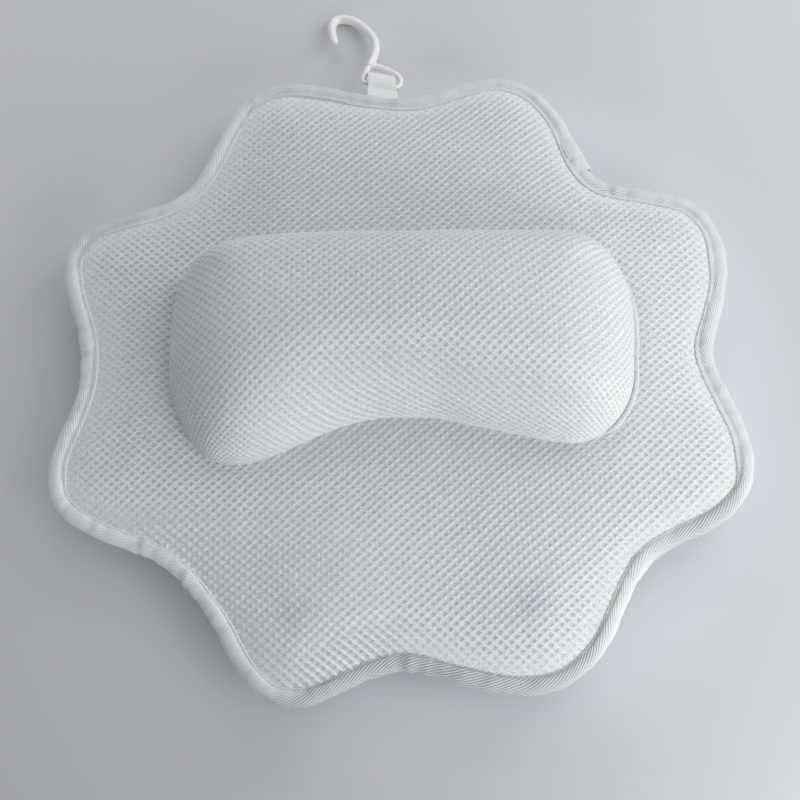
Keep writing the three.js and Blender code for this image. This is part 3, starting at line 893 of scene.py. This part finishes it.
def grid_body(panel, flat_in, inset, z_floor, step, shrink):
    """A plain sheet below a panel: its points moved in along the normals, and the quads between them."""
    p = panel.p[::step, ::step] - panel.n[::step, ::step] * shrink
    ok = flat_in[::step, ::step] > inset
    nx, ny = ok.shape
    index = -np.ones(ok.shape, int)
    index[ok] = np.arange(ok.sum())
    quads = []
    for i in range(nx - 1):
        for j in range(ny - 1):
            c = [index[i, j], index[i + 1, j], index[i + 1, j + 1], index[i, j + 1]]
            if min(c) >= 0:
                quads.append(c)
    return p[ok], quads


verts, faces = grid_body(COVER, CUSHION_IN, 3.0, 27.0, 3, 3.4)
stuffing = make("cushion_stuffing", verts, faces)
close_below(stuffing, 28.2)
dress(stuffing, "pad", "stuffing", FILL_WHITE, "head_cushion_fill")


# ------------------------------------------------------------------ sweeps
def tube(path, radius, sides, closed=True, up=(0, 0, 1), flat=1.0):
    """A round sweep along a path of points; radius may change along it."""
    path = np.asarray(path, float)
    n = len(path)
    r = np.broadcast_to(np.asarray(radius, float), (n,))
    if closed:
        tan = np.roll(path, -1, 0) - np.roll(path, 1, 0)
    else:
        tan = np.gradient(path, axis=0)
    tan /= np.linalg.norm(tan, axis=1, keepdims=True)
    side = np.cross(tan, np.broadcast_to(np.asarray(up, float), tan.shape))
    side /= np.linalg.norm(side, axis=1, keepdims=True)
    top = np.cross(side, tan)
    ang = np.linspace(0, TAU, sides, endpoint=False)
    v = (path[:, None] + r[:, None, None] * (np.cos(ang)[None, :, None] * side[:, None] + flat * np.sin(ang)[None, :, None] * top[:, None])).reshape(-1, 3)
    f = []
    for i in range(n if closed else n - 1):
        a, b = i * sides, ((i + 1) % n) * sides
        for k in range(sides):
            k2 = (k + 1) % sides
            f.append((a + k, a + k2, b + k2, b + k))
    if not closed:
        f.append(tuple(range(sides))[::1])
        f.append(tuple((n - 1) * sides + k for k in range(sides))[::-1])
    return v, f


def stitches(name, path, normal, length, gap, r, lift=0.0):
    """Short capsules of thread laid end to end along a path."""
    path = np.asarray(path, float)
    s = np.concatenate([[0], np.cumsum(np.linalg.norm(np.diff(path, axis=0), axis=1))])
    verts, faces = [], []
    t0 = 0.0
    while t0 + length < s[-1]:
        t = np.linspace(t0, t0 + length, 6)
        p = np.stack([np.interp(t, s, path[:, k]) for k in range(3)], axis=1)
        nn = np.stack([np.interp(t, s, normal[:, k]) for k in range(3)], axis=1)
        nn /= np.linalg.norm(nn, axis=1, keepdims=True)
        bow = np.array([-0.9, -0.15, 0.1, 0.1, -0.15, -0.9]) * r
        p = p + nn * (bow + lift)[:, None]
        tan = np.gradient(p, axis=0)
        tan /= np.linalg.norm(tan, axis=1, keepdims=True)
        side = np.cross(nn, tan)
        rr = np.array([0.55, 0.95, 1, 1, 0.95, 0.55]) * r
        o = sum(len(x) for x in verts)
        ring = []
        for k in range(6):
            a = TAU * k / 6
            ring.append(p + rr[:, None] * (math.cos(a) * side + math.sin(a) * nn))
        v = np.stack(ring, axis=1).reshape(-1, 3)
        verts.append(v)
        for i in range(5):
            for k in range(6):
                k2 = (k + 1) % 6
                faces.append((o + i * 6 + k, o + i * 6 + k2, o + i * 6 + 6 + k2, o + i * 6 + 6 + k))
        faces.append(tuple(o + k for k in range(6))[::-1])
        faces.append(tuple(o + 30 + k for k in range(6)))
        t0 += length + gap
    return make(name, np.concatenate(verts), faces)


# seam of the cushion: a rolled lip on the pad
count = 2200
path2, n2 = CUSHION.at(np.linspace(0, CUSHION.length, count, endpoint=False))
full = smooth01(-n2[:, 0], 0.35, 0.75) + 0.4 * smooth01(n2[:, 0], 0.5, 0.9)  # fullest at the right-hand end
rough = np.random.default_rng(31).normal(0, 1, (count, 12, 1))
rough = 0.5 * rough + 0.25 * np.roll(rough, 1, 0) + 0.25 * np.roll(rough, -1, 0)
lip_xy = path2 + n2 * (1.2 - 2.7 * full)[:, None]
lip_z = FRONT.at(lip_xy)[0][:, 2] - 0.6 + 1.5 * full
ridge = (0.4 + 1.05 * full) * (1 + 0.07 * np.sin(np.linspace(0, TAU * round(CUSHION.length / 2.9), count, endpoint=False)))
verts, faces = tube(np.column_stack([lip_xy, lip_z]), ridge, 12, flat=0.85)
verts = verts + (rough * (verts.reshape(count, 12, 3) - np.column_stack([lip_xy, lip_z])[:, None]) * 0.16).reshape(-1, 3)
lip = make("cushion_seam_lip", verts, faces)
fix_normals(lip)
dress(lip, "pad", "spacer_mesh", MESH_ROLL)

# ------------------------------------------------------------------ edge binding
TWILL = math.radians(26)
TWILL_PITCH = 1.35
SECTION = [
    (10.5, -4.1), (9.4, -4.25), (8.3, -3.75), (7.2, -4.25), (5.6, -4.75), (3.6, -4.5), (1.6, -3.6), (0.35, -1.9), (0.0, 0.0),
    (0.35, 1.9), (1.6, 3.6), (3.6, 4.5), (5.6, 4.75), (7.2, 4.25), (8.3, 3.75), (9.4, 4.25), (10.5, 4.1),
]
sec = catmull_open(SECTION, 6)
sec = even(sec, 29, False)
wd = np.concatenate([[0], np.cumsum(np.linalg.norm(np.diff(sec, axis=0), axis=1))])
wd = wd - wd[-1] / 2
inner = np.array([(10.4, 3.45), (7.0, 3.1), (3.0, 3.0), (1.3, 1.2), (1.3, -1.2), (3.0, -3.0), (7.0, -3.1), (10.4, -3.45)])
inner_w = np.linspace(wd[-1] - 0.4, wd[0] + 0.4, len(inner))
per = TWILL_PITCH / math.sin(TWILL)
ridges = round(EDGE.length / per)
SUB = 5
rows = ridges * SUB
si = np.arange(rows) * EDGE.length / rows
sec_t = np.gradient(sec, axis=0)
sec_t /= np.linalg.norm(sec_t, axis=1, keepdims=True)
sec_n = np.stack([-sec_t[:, 1], sec_t[:, 0]], axis=1)  # out of the tape
if sec_n[len(sec) // 2, 0] > 0:
    sec_n = -sec_n


_turn = np.arctan2(EDGE.t[:, 1], EDGE.t[:, 0])
_bend = np.angle(np.exp(1j * (np.roll(_turn, -6) - np.roll(_turn, 6))))
PINCH = around(smooth01(-_bend, 0.0, 0.03), 400)  # 1 where the edge turns in
_rng = np.random.default_rng(17)
CREASES = [(_rng.uniform(4.5, 15.0), _rng.uniform(0, TAU), _rng.uniform(-0.55, 0.55)) for _ in range(14)]


def creases(s, w):
    k = np.clip((np.mod(s, EDGE.length) / EDGE.length * len(EDGE.p)).astype(int), 0, len(EDGE.p) - 1)
    lump = sum(np.sin(TAU * s / round_to(lam) + ph + slant * w) for lam, ph, slant in CREASES) / math.sqrt(len(CREASES))
    return (0.15 + 0.2 * PINCH[k]) * lump


def round_to(lam):
    """The wavelength nearest to lam that goes a whole number of times round the edge."""
    return EDGE.length / round(EDGE.length / lam)


def drawn_in(t, n):
    """How far from the edge a point of the tape's flange lies: at the lower edge the pad swells over part of it."""
    return t - 2.4 * smooth01(t, 6.0, 10.5) * smooth01(n[:, 1], 0.05, 0.6)


def lay(xy, z, t, over=0.0, groove=1.0):
    """The tape's height over the middle plane: its own section outside, laid on the pad's two faces further in."""
    z = np.broadcast_to(np.asarray(z, float), (len(xy),))
    w = smooth01(t, 6.6, 8.6)
    sink = 0.34 - 0.2 * float(smooth01(t, 9.2, 10.5)) - 0.32 * groove * math.exp(-(((t - 8.3) / 0.8) ** 2))
    if z[0] > 0:
        on = FRONT.at(xy)[0][:, 2] - MID_Z + sink
    else:
        on = BACK.at(xy * [-1, 1])[0][:, 2] - MID_Z - sink
    return z * (1 - w) + (on + over) * w


cols = []
phase = np.arange(rows) % SUB
furrow = (0.5 + 0.5 * np.cos(TAU * phase / SUB)) ** 2.5
bump_row = 0.24 * (1 - furrow)
JOIN = EDGE.s[int(EDGE.near(np.array([(-24.0, 182.0)]))[3][0]) % len(EDGE.p)]  # the tape's end, laid over its start
rng = np.random.default_rng(7)
for j in range(len(sec)):
    s = si + wd[j] / math.tan(TWILL)
    p, n = EDGE.at(s)
    ang = TAU * s / EDGE.length
    loose = 0.30 * np.sin(9 * ang + 1.0) + 0.22 * np.sin(23 * ang + 0.4) + 0.2 * np.sin(41 * ang + 2.0)
    fat = 1 + 0.07 * np.sin(13 * ang + 0.7) + 0.05 * np.sin(31 * ang) + 0.045 * np.sin(57 * ang + 1.3) + 0.03 * np.sin(97 * ang + 0.5)
    past = np.mod(s - JOIN, EDGE.length)
    lap = 0.55 * smooth01(past, 0, 0.7) * (1 - smooth01(past, 26, 60))
    t, z = sec[j]
    edge_w = smooth01(abs(wd[j]), 8.2, 10.0)
    groove = 0.12 + 0.88 * smooth01(n[:, 0], 0.0, 0.6)  # the line of stitching sinks in on the left
    pucker = 0.16 * groove * np.sin(TAU * s / 3.6) * np.exp(-((t - 8.3) / 1.3) ** 2)
    crumple = creases(s, wd[j]) * (1 - 0.7 * float(smooth01(t, 7.0, 9.5)))
    swell = (0.22 * np.sin(29 * ang + 2.0) + 0.16 * np.sin(67 * ang + 0.3)) * (1 - float(smooth01(t, 3, 7)))
    t_in = drawn_in(t, n)
    tt = t_in + loose * edge_w + swell + (bump_row + lap + crumple) * sec_n[j, 0]
    zz = lay(p + n * t_in[:, None], z * fat, t, 0.0, groove) + (bump_row + lap + pucker + crumple) * sec_n[j, 1]
    cols.append(np.column_stack([p + n * tt[:, None], MID_Z + zz]))
for (t, z), w_in in zip(inner, inner_w):
    s = si + w_in / math.tan(TWILL)
    p, n = EDGE.at(s)
    xy = p + n * drawn_in(t, n)[:, None]
    cols.append(np.column_stack([xy, MID_Z + lay(xy, z, t, -0.6 if z > 0 else 0.6)]))
m = len(cols)
verts = np.stack(cols, axis=1).reshape(-1, 3)
ii = np.arange(rows)
i2 = (ii + 1) % rows
faces = []
for j in range(m):
    j2 = (j + 1) % m
    faces.append(np.stack([ii * m + j, i2 * m + j, i2 * m + j2, ii * m + j2], 1))
binding = make("binding_tape", verts, np.concatenate(faces))
fix_normals(binding)
furrow_shade = np.zeros((rows, m))
furrow_shade[:, : len(sec)] = furrow[:, None]
_q, _n = EDGE.at(si)
_west = smooth01(-_q[:, 0], 88, 118) * smooth01(-_q[:, 1], 40, 70)
_dim_patch = np.exp(-(((_q[:, 0] + 84) / 30.0) ** 2) - ((_q[:, 1] + 160) / 38.0) ** 2)
_left, _low = smooth01(_n[:, 0], 0.2, 0.8), smooth01(_n[:, 1], 0.5, 0.95) * (1 - 0.8 * _west)
_left = np.maximum(_left, _west)
_tape_painted_light = 0.2 - 0.2 * _left + 0.1 * _low + 0.2 * _dim_patch  # painted light and shade on the tape: lighter on the left and its lower-left flank, darker with deeper dark furrows at the lower edge, greyer with faint furrows in a patch at the lower left
_furrow_painted_shade = (0.46 - 0.18 * _left + 0.3 * _low) * (1 - 0.3 * _west) * (1 - 0.55 * _dim_patch)
furrow_shade = _tape_painted_light[:, None] + _furrow_painted_shade[:, None] * furrow_shade ** (1 - 0.45 * _low)[:, None]
point_values(binding, "groove", furrow_shade.ravel())
dress(binding, "pad", "twill_tape", TAPE_TWILL, "edge_binding")

for nm, sgn in (("binding_stitches", 1), ("binding_stitches_back", -1)):
    s = np.linspace(0, EDGE.length, 4000)
    p, n = EDGE.at(s)
    xy = p + n * drawn_in(8.3, n)[:, None]
    zz = MID_Z + lay(xy, 3.75 * sgn, 8.3) + 0.05 * sgn
    st = stitches(nm, np.column_stack([xy, zz]), np.tile([0, 0, float(sgn)], (len(s), 1)), 3.0, 0.6, 0.24)
    dress(st, "pad", "twill_tape", THREAD_WHITE)

# the tape's other end, left standing straight off the edge where the edge turns in
tab_at, tab_on, tab_in, tab_len = np.array([104.3, 149.6]), np.array([0.384, -0.923]), np.array([-0.923, -0.384]), 28.8
tab_sec = even(catmull_open([(10.0, -4.6), (8.2, -4.9), (6.0, -4.95), (4.2, -4.75), (2.2, -4.1), (0.7, -2.7), (0.0, -1.2), (0.0, 1.2), (0.7, 2.7), (2.2, 4.1), (4.2, 4.75), (6.0, 4.95), (8.2, 4.9), (10.0, 4.6)], 6), 109, False)
tab_tan = np.gradient(tab_sec, axis=0)
tab_tan /= np.linalg.norm(tab_tan, axis=1, keepdims=True)
tab_out = np.stack([tab_tan[:, 1], -tab_tan[:, 0]], axis=1)
tab_out *= -np.sign(tab_out[len(tab_out) // 2, 0])
tab_w = np.linspace(-1, 1, len(tab_sec)) * 13.0
rows_t = 60
verts, furrow_shade = [], []
for i in range(rows_t):
    f = i / (rows_t - 1)
    at = tab_at + tab_on * tab_len * f
    furrow = (0.5 + 0.5 * np.cos(TAU * (f * tab_len + tab_w / math.tan(TWILL)) / per)) ** 2.5
    furrow_shade += [furrow, np.zeros(len(tab_sec))]
    ridge_t = 0.2 * (1 - furrow)
    press = 0.9 + 0.1 * smooth01(f, 0.0, 0.4) - 0.22 * smooth01(f, 0.55, 1.0) - 0.1 * math.exp(-(((f - 0.66) / 0.05) ** 2))
    for side, extra in ((tab_sec, ridge_t + 0.14 - 0.7 * (1 - float(smooth01(f, 0.0, 0.35)))), (tab_sec[::-1], np.full(len(tab_sec), -1.0))):
        o_ = tab_out if side is tab_sec else tab_out[::-1]
        q = (side + o_ * extra[:, None]) * [1, press]
        verts.append(np.column_stack([at + tab_in * q[:, :1], MID_Z + 0.2 + q[:, 1]]))
m_t = 2 * len(tab_sec)
verts = np.vstack(verts)
faces = []
for i in range(rows_t - 1):
    for k in range(m_t):
        k2 = (k + 1) % m_t
        faces.append((i * m_t + k, (i + 1) * m_t + k, (i + 1) * m_t + k2, i * m_t + k2))
for i in (0, rows_t - 1):
    for k in range(len(tab_sec) - 1):
        faces.append((i * m_t + k, i * m_t + k + 1, i * m_t + m_t - 2 - k, i * m_t + m_t - 1 - k))
tab = make("binding_tape_end", verts, faces)
fix_normals(tab)
point_values(tab, "groove", 0.2 + 0.46 * np.concatenate(furrow_shade))
dress(tab, "pad", "twill_tape", TAPE_TWILL)

# ------------------------------------------------------------------ webbing loop and hook
FALL = -0.25
DOWN = math.atan(FALL)
BAR = np.array([-6.0, 192.0, 18.5])
TURN = math.radians(-18)
WEB_W, WEB_X, WEB_T = 16.8, -5.95, 1.24
TAIL = -(192.0 - 177.4) * math.hypot(1, FALL)


def bezier(a, b, c, d, n):
    t = np.linspace(0, 1, n, endpoint=False)[:, None]
    a, b, c, d = (np.asarray(x, float) for x in (a, b, c, d))
    return (1 - t) ** 3 * a + 3 * (1 - t) ** 2 * t * b + 3 * (1 - t) * t**2 * c + t**3 * d


half = np.vstack([
    np.column_stack([np.linspace(TAIL, -6, 14, endpoint=False), np.full(14, 0.72)]),
    bezier((-6, 0.72), (-3, 0.72), (-2.7, 3.25), (2.5, 3.25), 18),
    bezier((2.5, 3.25), (6.05, 3.25), (8.55, 2.0), (8.55, 0), 14),
])
line = np.vstack([half, [[8.55, 0]], (half * [1, -1])[::-1]])
tan = np.gradient(line, axis=0)
tan /= np.linalg.norm(tan, axis=1, keepdims=True)
nrm = np.stack([-tan[:, 1], tan[:, 0]], axis=1)  # out of the loop
if np.sum(nrm[len(line) // 2] * [1, 0]) < 0:
    nrm = -nrm
across = np.linspace(-WEB_W / 2, WEB_W / 2, 97)
rib = 0.055 * np.cos(TAU * across / 0.9)
hem = np.sqrt(np.clip(1 - ((np.abs(across) - (WEB_W / 2 - 0.5)).clip(0) / 0.5) ** 2, 0.02, 1))


def web_point(v, w, x):
    share = smooth01(v, TAIL + 5.5, -2)
    vv = v + share * math.tan(TURN) * (x - BAR[0])
    return np.stack([x, BAR[1] + vv * math.cos(DOWN) - w * math.sin(DOWN), BAR[2] + vv * math.sin(DOWN) + w * math.cos(DOWN)], axis=-1)


L, K = len(line), len(across)
flare = 1 + 0.13 * (1 - smooth01(line[:, 0], TAIL - 2, 4)) - 0.03 * smooth01(line[:, 0], -7, -3)
xs = WEB_X + across[None] * flare[:, None] + 0.25 * (flare[:, None] - 1) / 0.13
hh = WEB_T / 2 * hem[None]
out_v = line[:, None, :] + nrm[:, None, :] * (hh + rib[None])[:, :, None]
in_v = line[:, None, :] - nrm[:, None, :] * (hh + 0.5 * rib[None])[:, :, None]
top = web_point(out_v[..., 0], out_v[..., 1], xs).reshape(-1, 3)
low = web_point(in_v[..., 0], in_v[..., 1], xs).reshape(-1, 3)
verts = np.vstack([top, low])
faces = []
o = L * K
for i in range(L - 1):
    for k in range(K - 1):
        a = i * K + k
        faces.append((a, a + 1, a + K + 1, a + K))
        faces.append((o + a, o + a + K, o + a + K + 1, o + a + 1))
    for k in (0, K - 1):
        a = i * K + k
        q = (a, a + K, o + a + K, o + a)
        faces.append(q if k == 0 else q[::-1])
for k in range(K - 1):
    faces.append((k, o + k, o + k + 1, k + 1))
    a = (L - 1) * K + k
    faces.append((a, a + 1, o + a + 1, o + a))
loop = make("webbing_loop", verts, faces)
fix_normals(loop)
dress(loop, None, "webbing", WEB_WHITE, "hanging_loop")


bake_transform(loop)

EU = np.array([0.95106, -0.29979, 0.07495])
EV = np.array([0.30902, 0.92266, -0.23067])
EN = np.array([0.0, 0.24254, 0.97014])


def hook_path(points, per):
    c = catmull_open(points, per)
    return BAR + c[:, :1] * EU + c[:, 1:] * EV, c


CROOK = [
    (-40.9, 32.6), (-44.1, 38.4), (-46.7, 45.3), (-46.9, 50.6), (-45.2, 53.9), (-41.6, 55.4), (-36.0, 54.9), (-29.6, 52.0), (-23.4, 47.4),
    (-18.2, 42.0), (-15.0, 36.6), (-13.2, 30.6), (-12.5, 24.4), (-12.3, 19.0), (-12.3, 14.4),
]
FRAME_R = [(-12.3, 15.4), (-6, 15.7), (-0.3, 14.4), (3.9, 12.9), (7.3, 10.9), (9.5, 8.4), (10.5, 5.4), (10.7, 2.4), (10.0, 0.6), (8.8, 0)]
FRAME_L = [(-12.1, 15.4), (-12.9, 12.4), (-13.0, 8), (-12.8, 4), (-12.4, 1), (-11.0, 0)]
bits_v, bits_f = [], []


def add_rod(points, radii, per=8, round_start=False):
    path, c = hook_path(points, per)
    n = len(path)
    r = np.interp(np.linspace(0, 1, n), np.linspace(0, 1, len(radii)), radii)
    if round_start:
        d = path[0] - path[1]
        d /= np.linalg.norm(d)
        extra = [(0.999, 0.06), (0.94, 0.34), (0.8, 0.6), (0.55, 0.835), (0.25, 0.97)]
        path = np.vstack([[path[0] + d * r[0] * a for a, _ in extra], path])
        r = np.concatenate([[r[0] * b for _, b in extra], r])
    v, f = tube(path, r, 20, closed=False, up=EN)
    o = sum(len(x) for x in bits_v)
    bits_v.append(v)
    bits_f.extend([tuple(i + o for i in q) for q in f])


add_rod(CROOK, [2.55, 2.65, 2.8, 2.9, 3.0, 3.05, 3.0, 2.85, 2.7, 2.6, 2.5, 2.45, 2.5, 2.6, 2.7], 10, True)
add_rod(FRAME_R, [2.3, 2.1, 1.9, 1.75, 1.65, 1.5, 1.4, 1.4, 1.45, 1.5])
add_rod(FRAME_L, [2.2, 1.9, 1.7, 1.6, 1.5, 1.5])
add_rod([(-12.0, 0), (-4, 0), (3, 0), (9.8, 0)], [1.5, 1.55, 1.55, 1.5])
add_rod([(-12.4, 22), (-11.2, 18.0), (-6.0, 15.6)], [2.2, 2.3, 1.7])
for q in ((-12.3, 15.3), (-12.0, 0.1), (9.9, 0.3)):
    add_rod([(q[0] - 0.5, q[1]), (q[0], q[1]), (q[0] + 0.5, q[1])], [1.5, 1.6, 1.5], 4)
hook = make("hook_body", np.concatenate(bits_v), bits_f)
fix_normals(hook)
mod = hook.modifiers.new("fuse", "REMESH")
mod.mode = "VOXEL"
mod.voxel_size = 0.00034
mod2 = hook.modifiers.new("soften", "SMOOTH")
mod2.factor = 0.5
mod2.iterations = 3


def bake(ob):
    dg = bpy.context.evaluated_depsgraph_get()
    me = bpy.data.meshes.new_from_object(ob.evaluated_get(dg))
    ob.modifiers.clear()
    old = ob.data
    ob.data = me
    me.name = ob.name
    bpy.data.meshes.remove(old)
    me.polygons.foreach_set("use_smooth", np.ones(len(me.polygons), bool))


bpy.context.view_layer.update()
bake(hook)
dress(hook, "hook", "hook_plastic", hook_plastic, "hook")

# ------------------------------------------------------------------ suction cups and their collars
CUP_PROFILE = [
    (0, 8), (6, 7.7), (12, 6.6), (18, 4.5), (24.2, 0.02), (26.7, 0.02), (27, 0.9), (25.4, 2.6), (20.5, 6.6), (14, 9.7), (7, 11.2),
    (4.3, 11.7), (4, 12.4), (4, 18.9), (4.5, 19.3), (7.6, 19.5), (8.5, 20.5), (7.9, 21.5), (6.4, 21.9), (0, 22),
]


def lathe(profile, cx, cy, seg):
    prof = catmull_open(profile, 3)
    prof = np.maximum(prof, 0)
    n = len(prof)
    verts = [(cx, cy, prof[0, 1])]
    ang = np.linspace(0, TAU, seg, endpoint=False)
    for r, z in prof[1:-1]:
        verts += [(cx + r * math.cos(a), cy + r * math.sin(a), z) for a in ang]
    verts.append((cx, cy, prof[-1, 1]))
    faces = []
    for k in range(seg):
        k2 = (k + 1) % seg
        faces.append((0, 1 + k2, 1 + k))
        for i in range(n - 3):
            a, b = 1 + i * seg, 1 + (i + 1) * seg
            faces.append((a + k, a + k2, b + k2, b + k))
        faces.append((1 + (n - 3) * seg + k, 1 + (n - 3) * seg + k2, len(verts) - 1))
    return verts, faces


for key, (cx, cy) in CUPS.items():
    v, f = lathe(CUP_PROFILE, cx, cy, 72)
    turn = math.atan2(-cy, -cx)
    out = [(24.6, -4.5), (32.4, -4.5)] + [(32.4 + 4.5 * math.cos(a), 4.5 * math.sin(a)) for a in np.linspace(-math.pi / 2, math.pi / 2, 14)[1:-1]] + [(32.4, 4.5), (24.6, 4.5)]
    c, s = math.cos(turn), math.sin(turn)
    o = len(v)
    k = len(out)
    for z, grow in ((0.35, -0.35), (0.7, 0.0), (1.4, 0.0), (1.75, -0.35)):
        for x, y in out:
            x2 = x + (grow if x > 30 else 0)
            y2 = y * (1 + grow / 4.5)
            v.append((cx + x2 * c - y2 * s, cy + x2 * s + y2 * c, z))
    for lv in range(3):
        for i in range(k):
            i2 = (i + 1) % k
            a, b = o + lv * k, o + (lv + 1) * k
            f.append((a + i, a + i2, b + i2, b + i))
    f.append(tuple(o + i for i in range(k))[::-1])
    f.append(tuple(o + 3 * k + i for i in range(k)))
    cup = make("cup_" + key, v, f)
    fix_normals(cup)
    dress(cup, "cup_" + key, "clear_vinyl", vinyl, "suction_cup_" + key)

    ring = [(4.75, 13.85), (4.9, 13.2), (5.6, 13.0), (10, 12.95), (13.8, 13.05), (14.4, 13.4), (14.4, 14.3), (13.8, 14.65), (9, 14.7), (5.4, 14.65), (4.85, 14.4)]
    ang = np.linspace(0, TAU, 72, endpoint=False)
    v, f = [], []
    for i, (r, z) in enumerate(ring):
        v += [(cx + r * math.cos(a), cy + r * math.sin(a), z) for a in ang]
    for i in range(len(ring)):
        a, b = i * 72, ((i + 1) % len(ring)) * 72
        for k in range(72):
            k2 = (k + 1) % 72
            f.append((a + k, a + k2, b + k2, b + k))
    collar = make("collar_" + key, v, f)
    fix_normals(collar)
    dress(collar, "pad", "twill_tape", TAPE_WHITE, "cup_collar_" + key)
    a = np.linspace(0, TAU, 200)
    path = np.column_stack([cx + 12.4 * np.cos(a), cy + 12.4 * np.sin(a), np.full(200, 12.98)])
    st = stitches("collar_stitches_" + key, path, np.tile([0, 0, -1.0], (200, 1)), 2.4, 0.6, 0.26)
    dress(st, "pad", "twill_tape", THREAD_WHITE)

# ------------------------------------------------------------------ floor, light and camera
floor_me = bpy.data.meshes.new("floor")
floor_me.from_pydata([(-6, -6, -0.0006), (6, -6, -0.0006), (6, 6, -0.0006), (-6, 6, -0.0006)], [], [(0, 1, 2, 3)])
floor = bpy.data.objects.new("floor", floor_me)
bpy.context.scene.collection.objects.link(floor)
floor_mat, _nt, _b = principled("floor")
_b.inputs["Roughness"].default_value = 0.9
_b.inputs["Specular IOR Level"].default_value = 0.1


def sums(op, a, b=0.0):
    node = _nt.nodes.new("ShaderNodeMath")
    node.operation = op
    for k, v in enumerate((a, b)):
        if isinstance(v, (int, float)):
            node.inputs[k].default_value = v
        else:
            _nt.links.new(v, node.inputs[k])
    return node.outputs[0]


# painted light on the floor below: lighter to the right and close to the pad, where it weakens the pad's shadow
_co = _nt.nodes.new("ShaderNodeTexCoord")
_xyz = _nt.nodes.new("ShaderNodeSeparateXYZ")
_nt.links.new(_co.outputs["Object"], _xyz.inputs[0])
_x = sums("MINIMUM", sums("MAXIMUM", _xyz.outputs["X"], -0.4), 0.4)
_y = sums("MINIMUM", sums("MAXIMUM", _xyz.outputs["Y"], -0.4), 0.4)
_r = sums("SQRT", sums("ADD", sums("MULTIPLY", _x, _x), sums("POWER", sums("ADD", _y, 0.034), 2.0)))
_near = sums("EXPONENT", sums("MULTIPLY", sums("POWER", sums("DIVIDE", _r, 0.21), 8.0), -1.0))
_floor_painted_light = sums("ADD", sums("MULTIPLY", _x, -0.262), sums("MULTIPLY", _y, 0.28))
_floor_painted_light = sums("ADD", _floor_painted_light, sums("MULTIPLY", sums("MULTIPLY", _x, _y), -1.157))
_floor_painted_light = sums("ADD", _floor_painted_light, sums("MULTIPLY", sums("MULTIPLY", _y, _y), -0.427))
_floor_painted_light = sums("ADD", sums("ADD", _floor_painted_light, sums("MULTIPLY", _near, 0.286)), 1.011)
_mix = _nt.nodes.new("ShaderNodeMix")
_mix.data_type = "RGBA"
_mix.blend_type = "MULTIPLY"
_mix.inputs["Factor"].default_value = 1.0
_mix.inputs["A"].default_value = (0.655, 0.658, 0.692, 1)
_nt.links.new(_floor_painted_light, _mix.inputs["B"])
_nt.links.new(_mix.outputs["Result"], _b.inputs["Base Color"])
floor_me.materials.append(floor_mat)


def area_light(name, turn, rise, far, size, power, colour=(1, 1, 1)):
    """A square soft light at a turn round the part, a rise above the floor and a distance, facing the pad."""
    a, e = math.radians(turn), math.radians(rise)
    at = Vector((math.cos(a) * math.cos(e) * far, math.sin(a) * math.cos(e) * far - 0.03, math.sin(e) * far))
    d = bpy.data.lights.new(name, "AREA")
    d.shape = "SQUARE"
    d.size = size
    d.energy = power
    d.color = colour
    ob = bpy.data.objects.new(name, d)
    bpy.context.scene.collection.objects.link(ob)
    ob.location = at
    ob.rotation_euler = (Vector((0, -0.03, 0.02)) - at).to_track_quat("-Z", "Y").to_euler()
    return ob


area_light("window_near", -45, 20, 0.55, 0.35, 1.04)
area_light("window_far", 35, 30, 0.65, 0.45, 1.28)
area_light("window_low", -60, 20, 1.3, 0.8, 3.7)
area_light("window_back", 90, 30, 1.3, 0.8, 2.34)
area_light("window_high", 0, 60, 1.3, 0.8, 0.9)

world = bpy.data.worlds.new("room")
bpy.context.scene.world = world
world.use_nodes = True
bg = world.node_tree.nodes["Background"]
bg.inputs["Color"].default_value = (1, 1, 1, 1)
bg.inputs["Strength"].default_value = 0.361

TH = math.radians(25.20835)
ROLL = math.radians(1.884875)
LOOK = Vector((0.000971, -0.055438, 0.0225))
DIST = 0.876505
fw = Vector((0, math.sin(TH), -math.cos(TH)))
dn = Vector((0, -math.cos(TH), -math.sin(TH)))
rt = Vector((1, 0, 0))
c, s = math.cos(ROLL), math.sin(ROLL)
cx_, cy_, cz_ = c * rt + s * dn, s * rt - c * dn, -fw
pos = LOOK - DIST * fw
cam_data = bpy.data.cameras.new("camera")
cam_data.sensor_width = 36.0
cam_data.lens = 1596.0016 / 800 * 36
cam_data.clip_start = 0.01
cam = bpy.data.objects.new("camera", cam_data)
bpy.context.scene.collection.objects.link(cam)
cam.matrix_world = Matrix(
    ((cx_.x, cy_.x, cz_.x, pos.x), (cx_.y, cy_.y, cz_.y, pos.y), (cx_.z, cy_.z, cz_.z, pos.z), (0, 0, 0, 1))
)
bpy.context.scene.camera = cam

view = bpy.context.scene.view_settings
view.view_transform = "Standard"
view.look = "None"
view.exposure = 0.0
view.gamma = 1.0

bpy.context.view_layer.update()
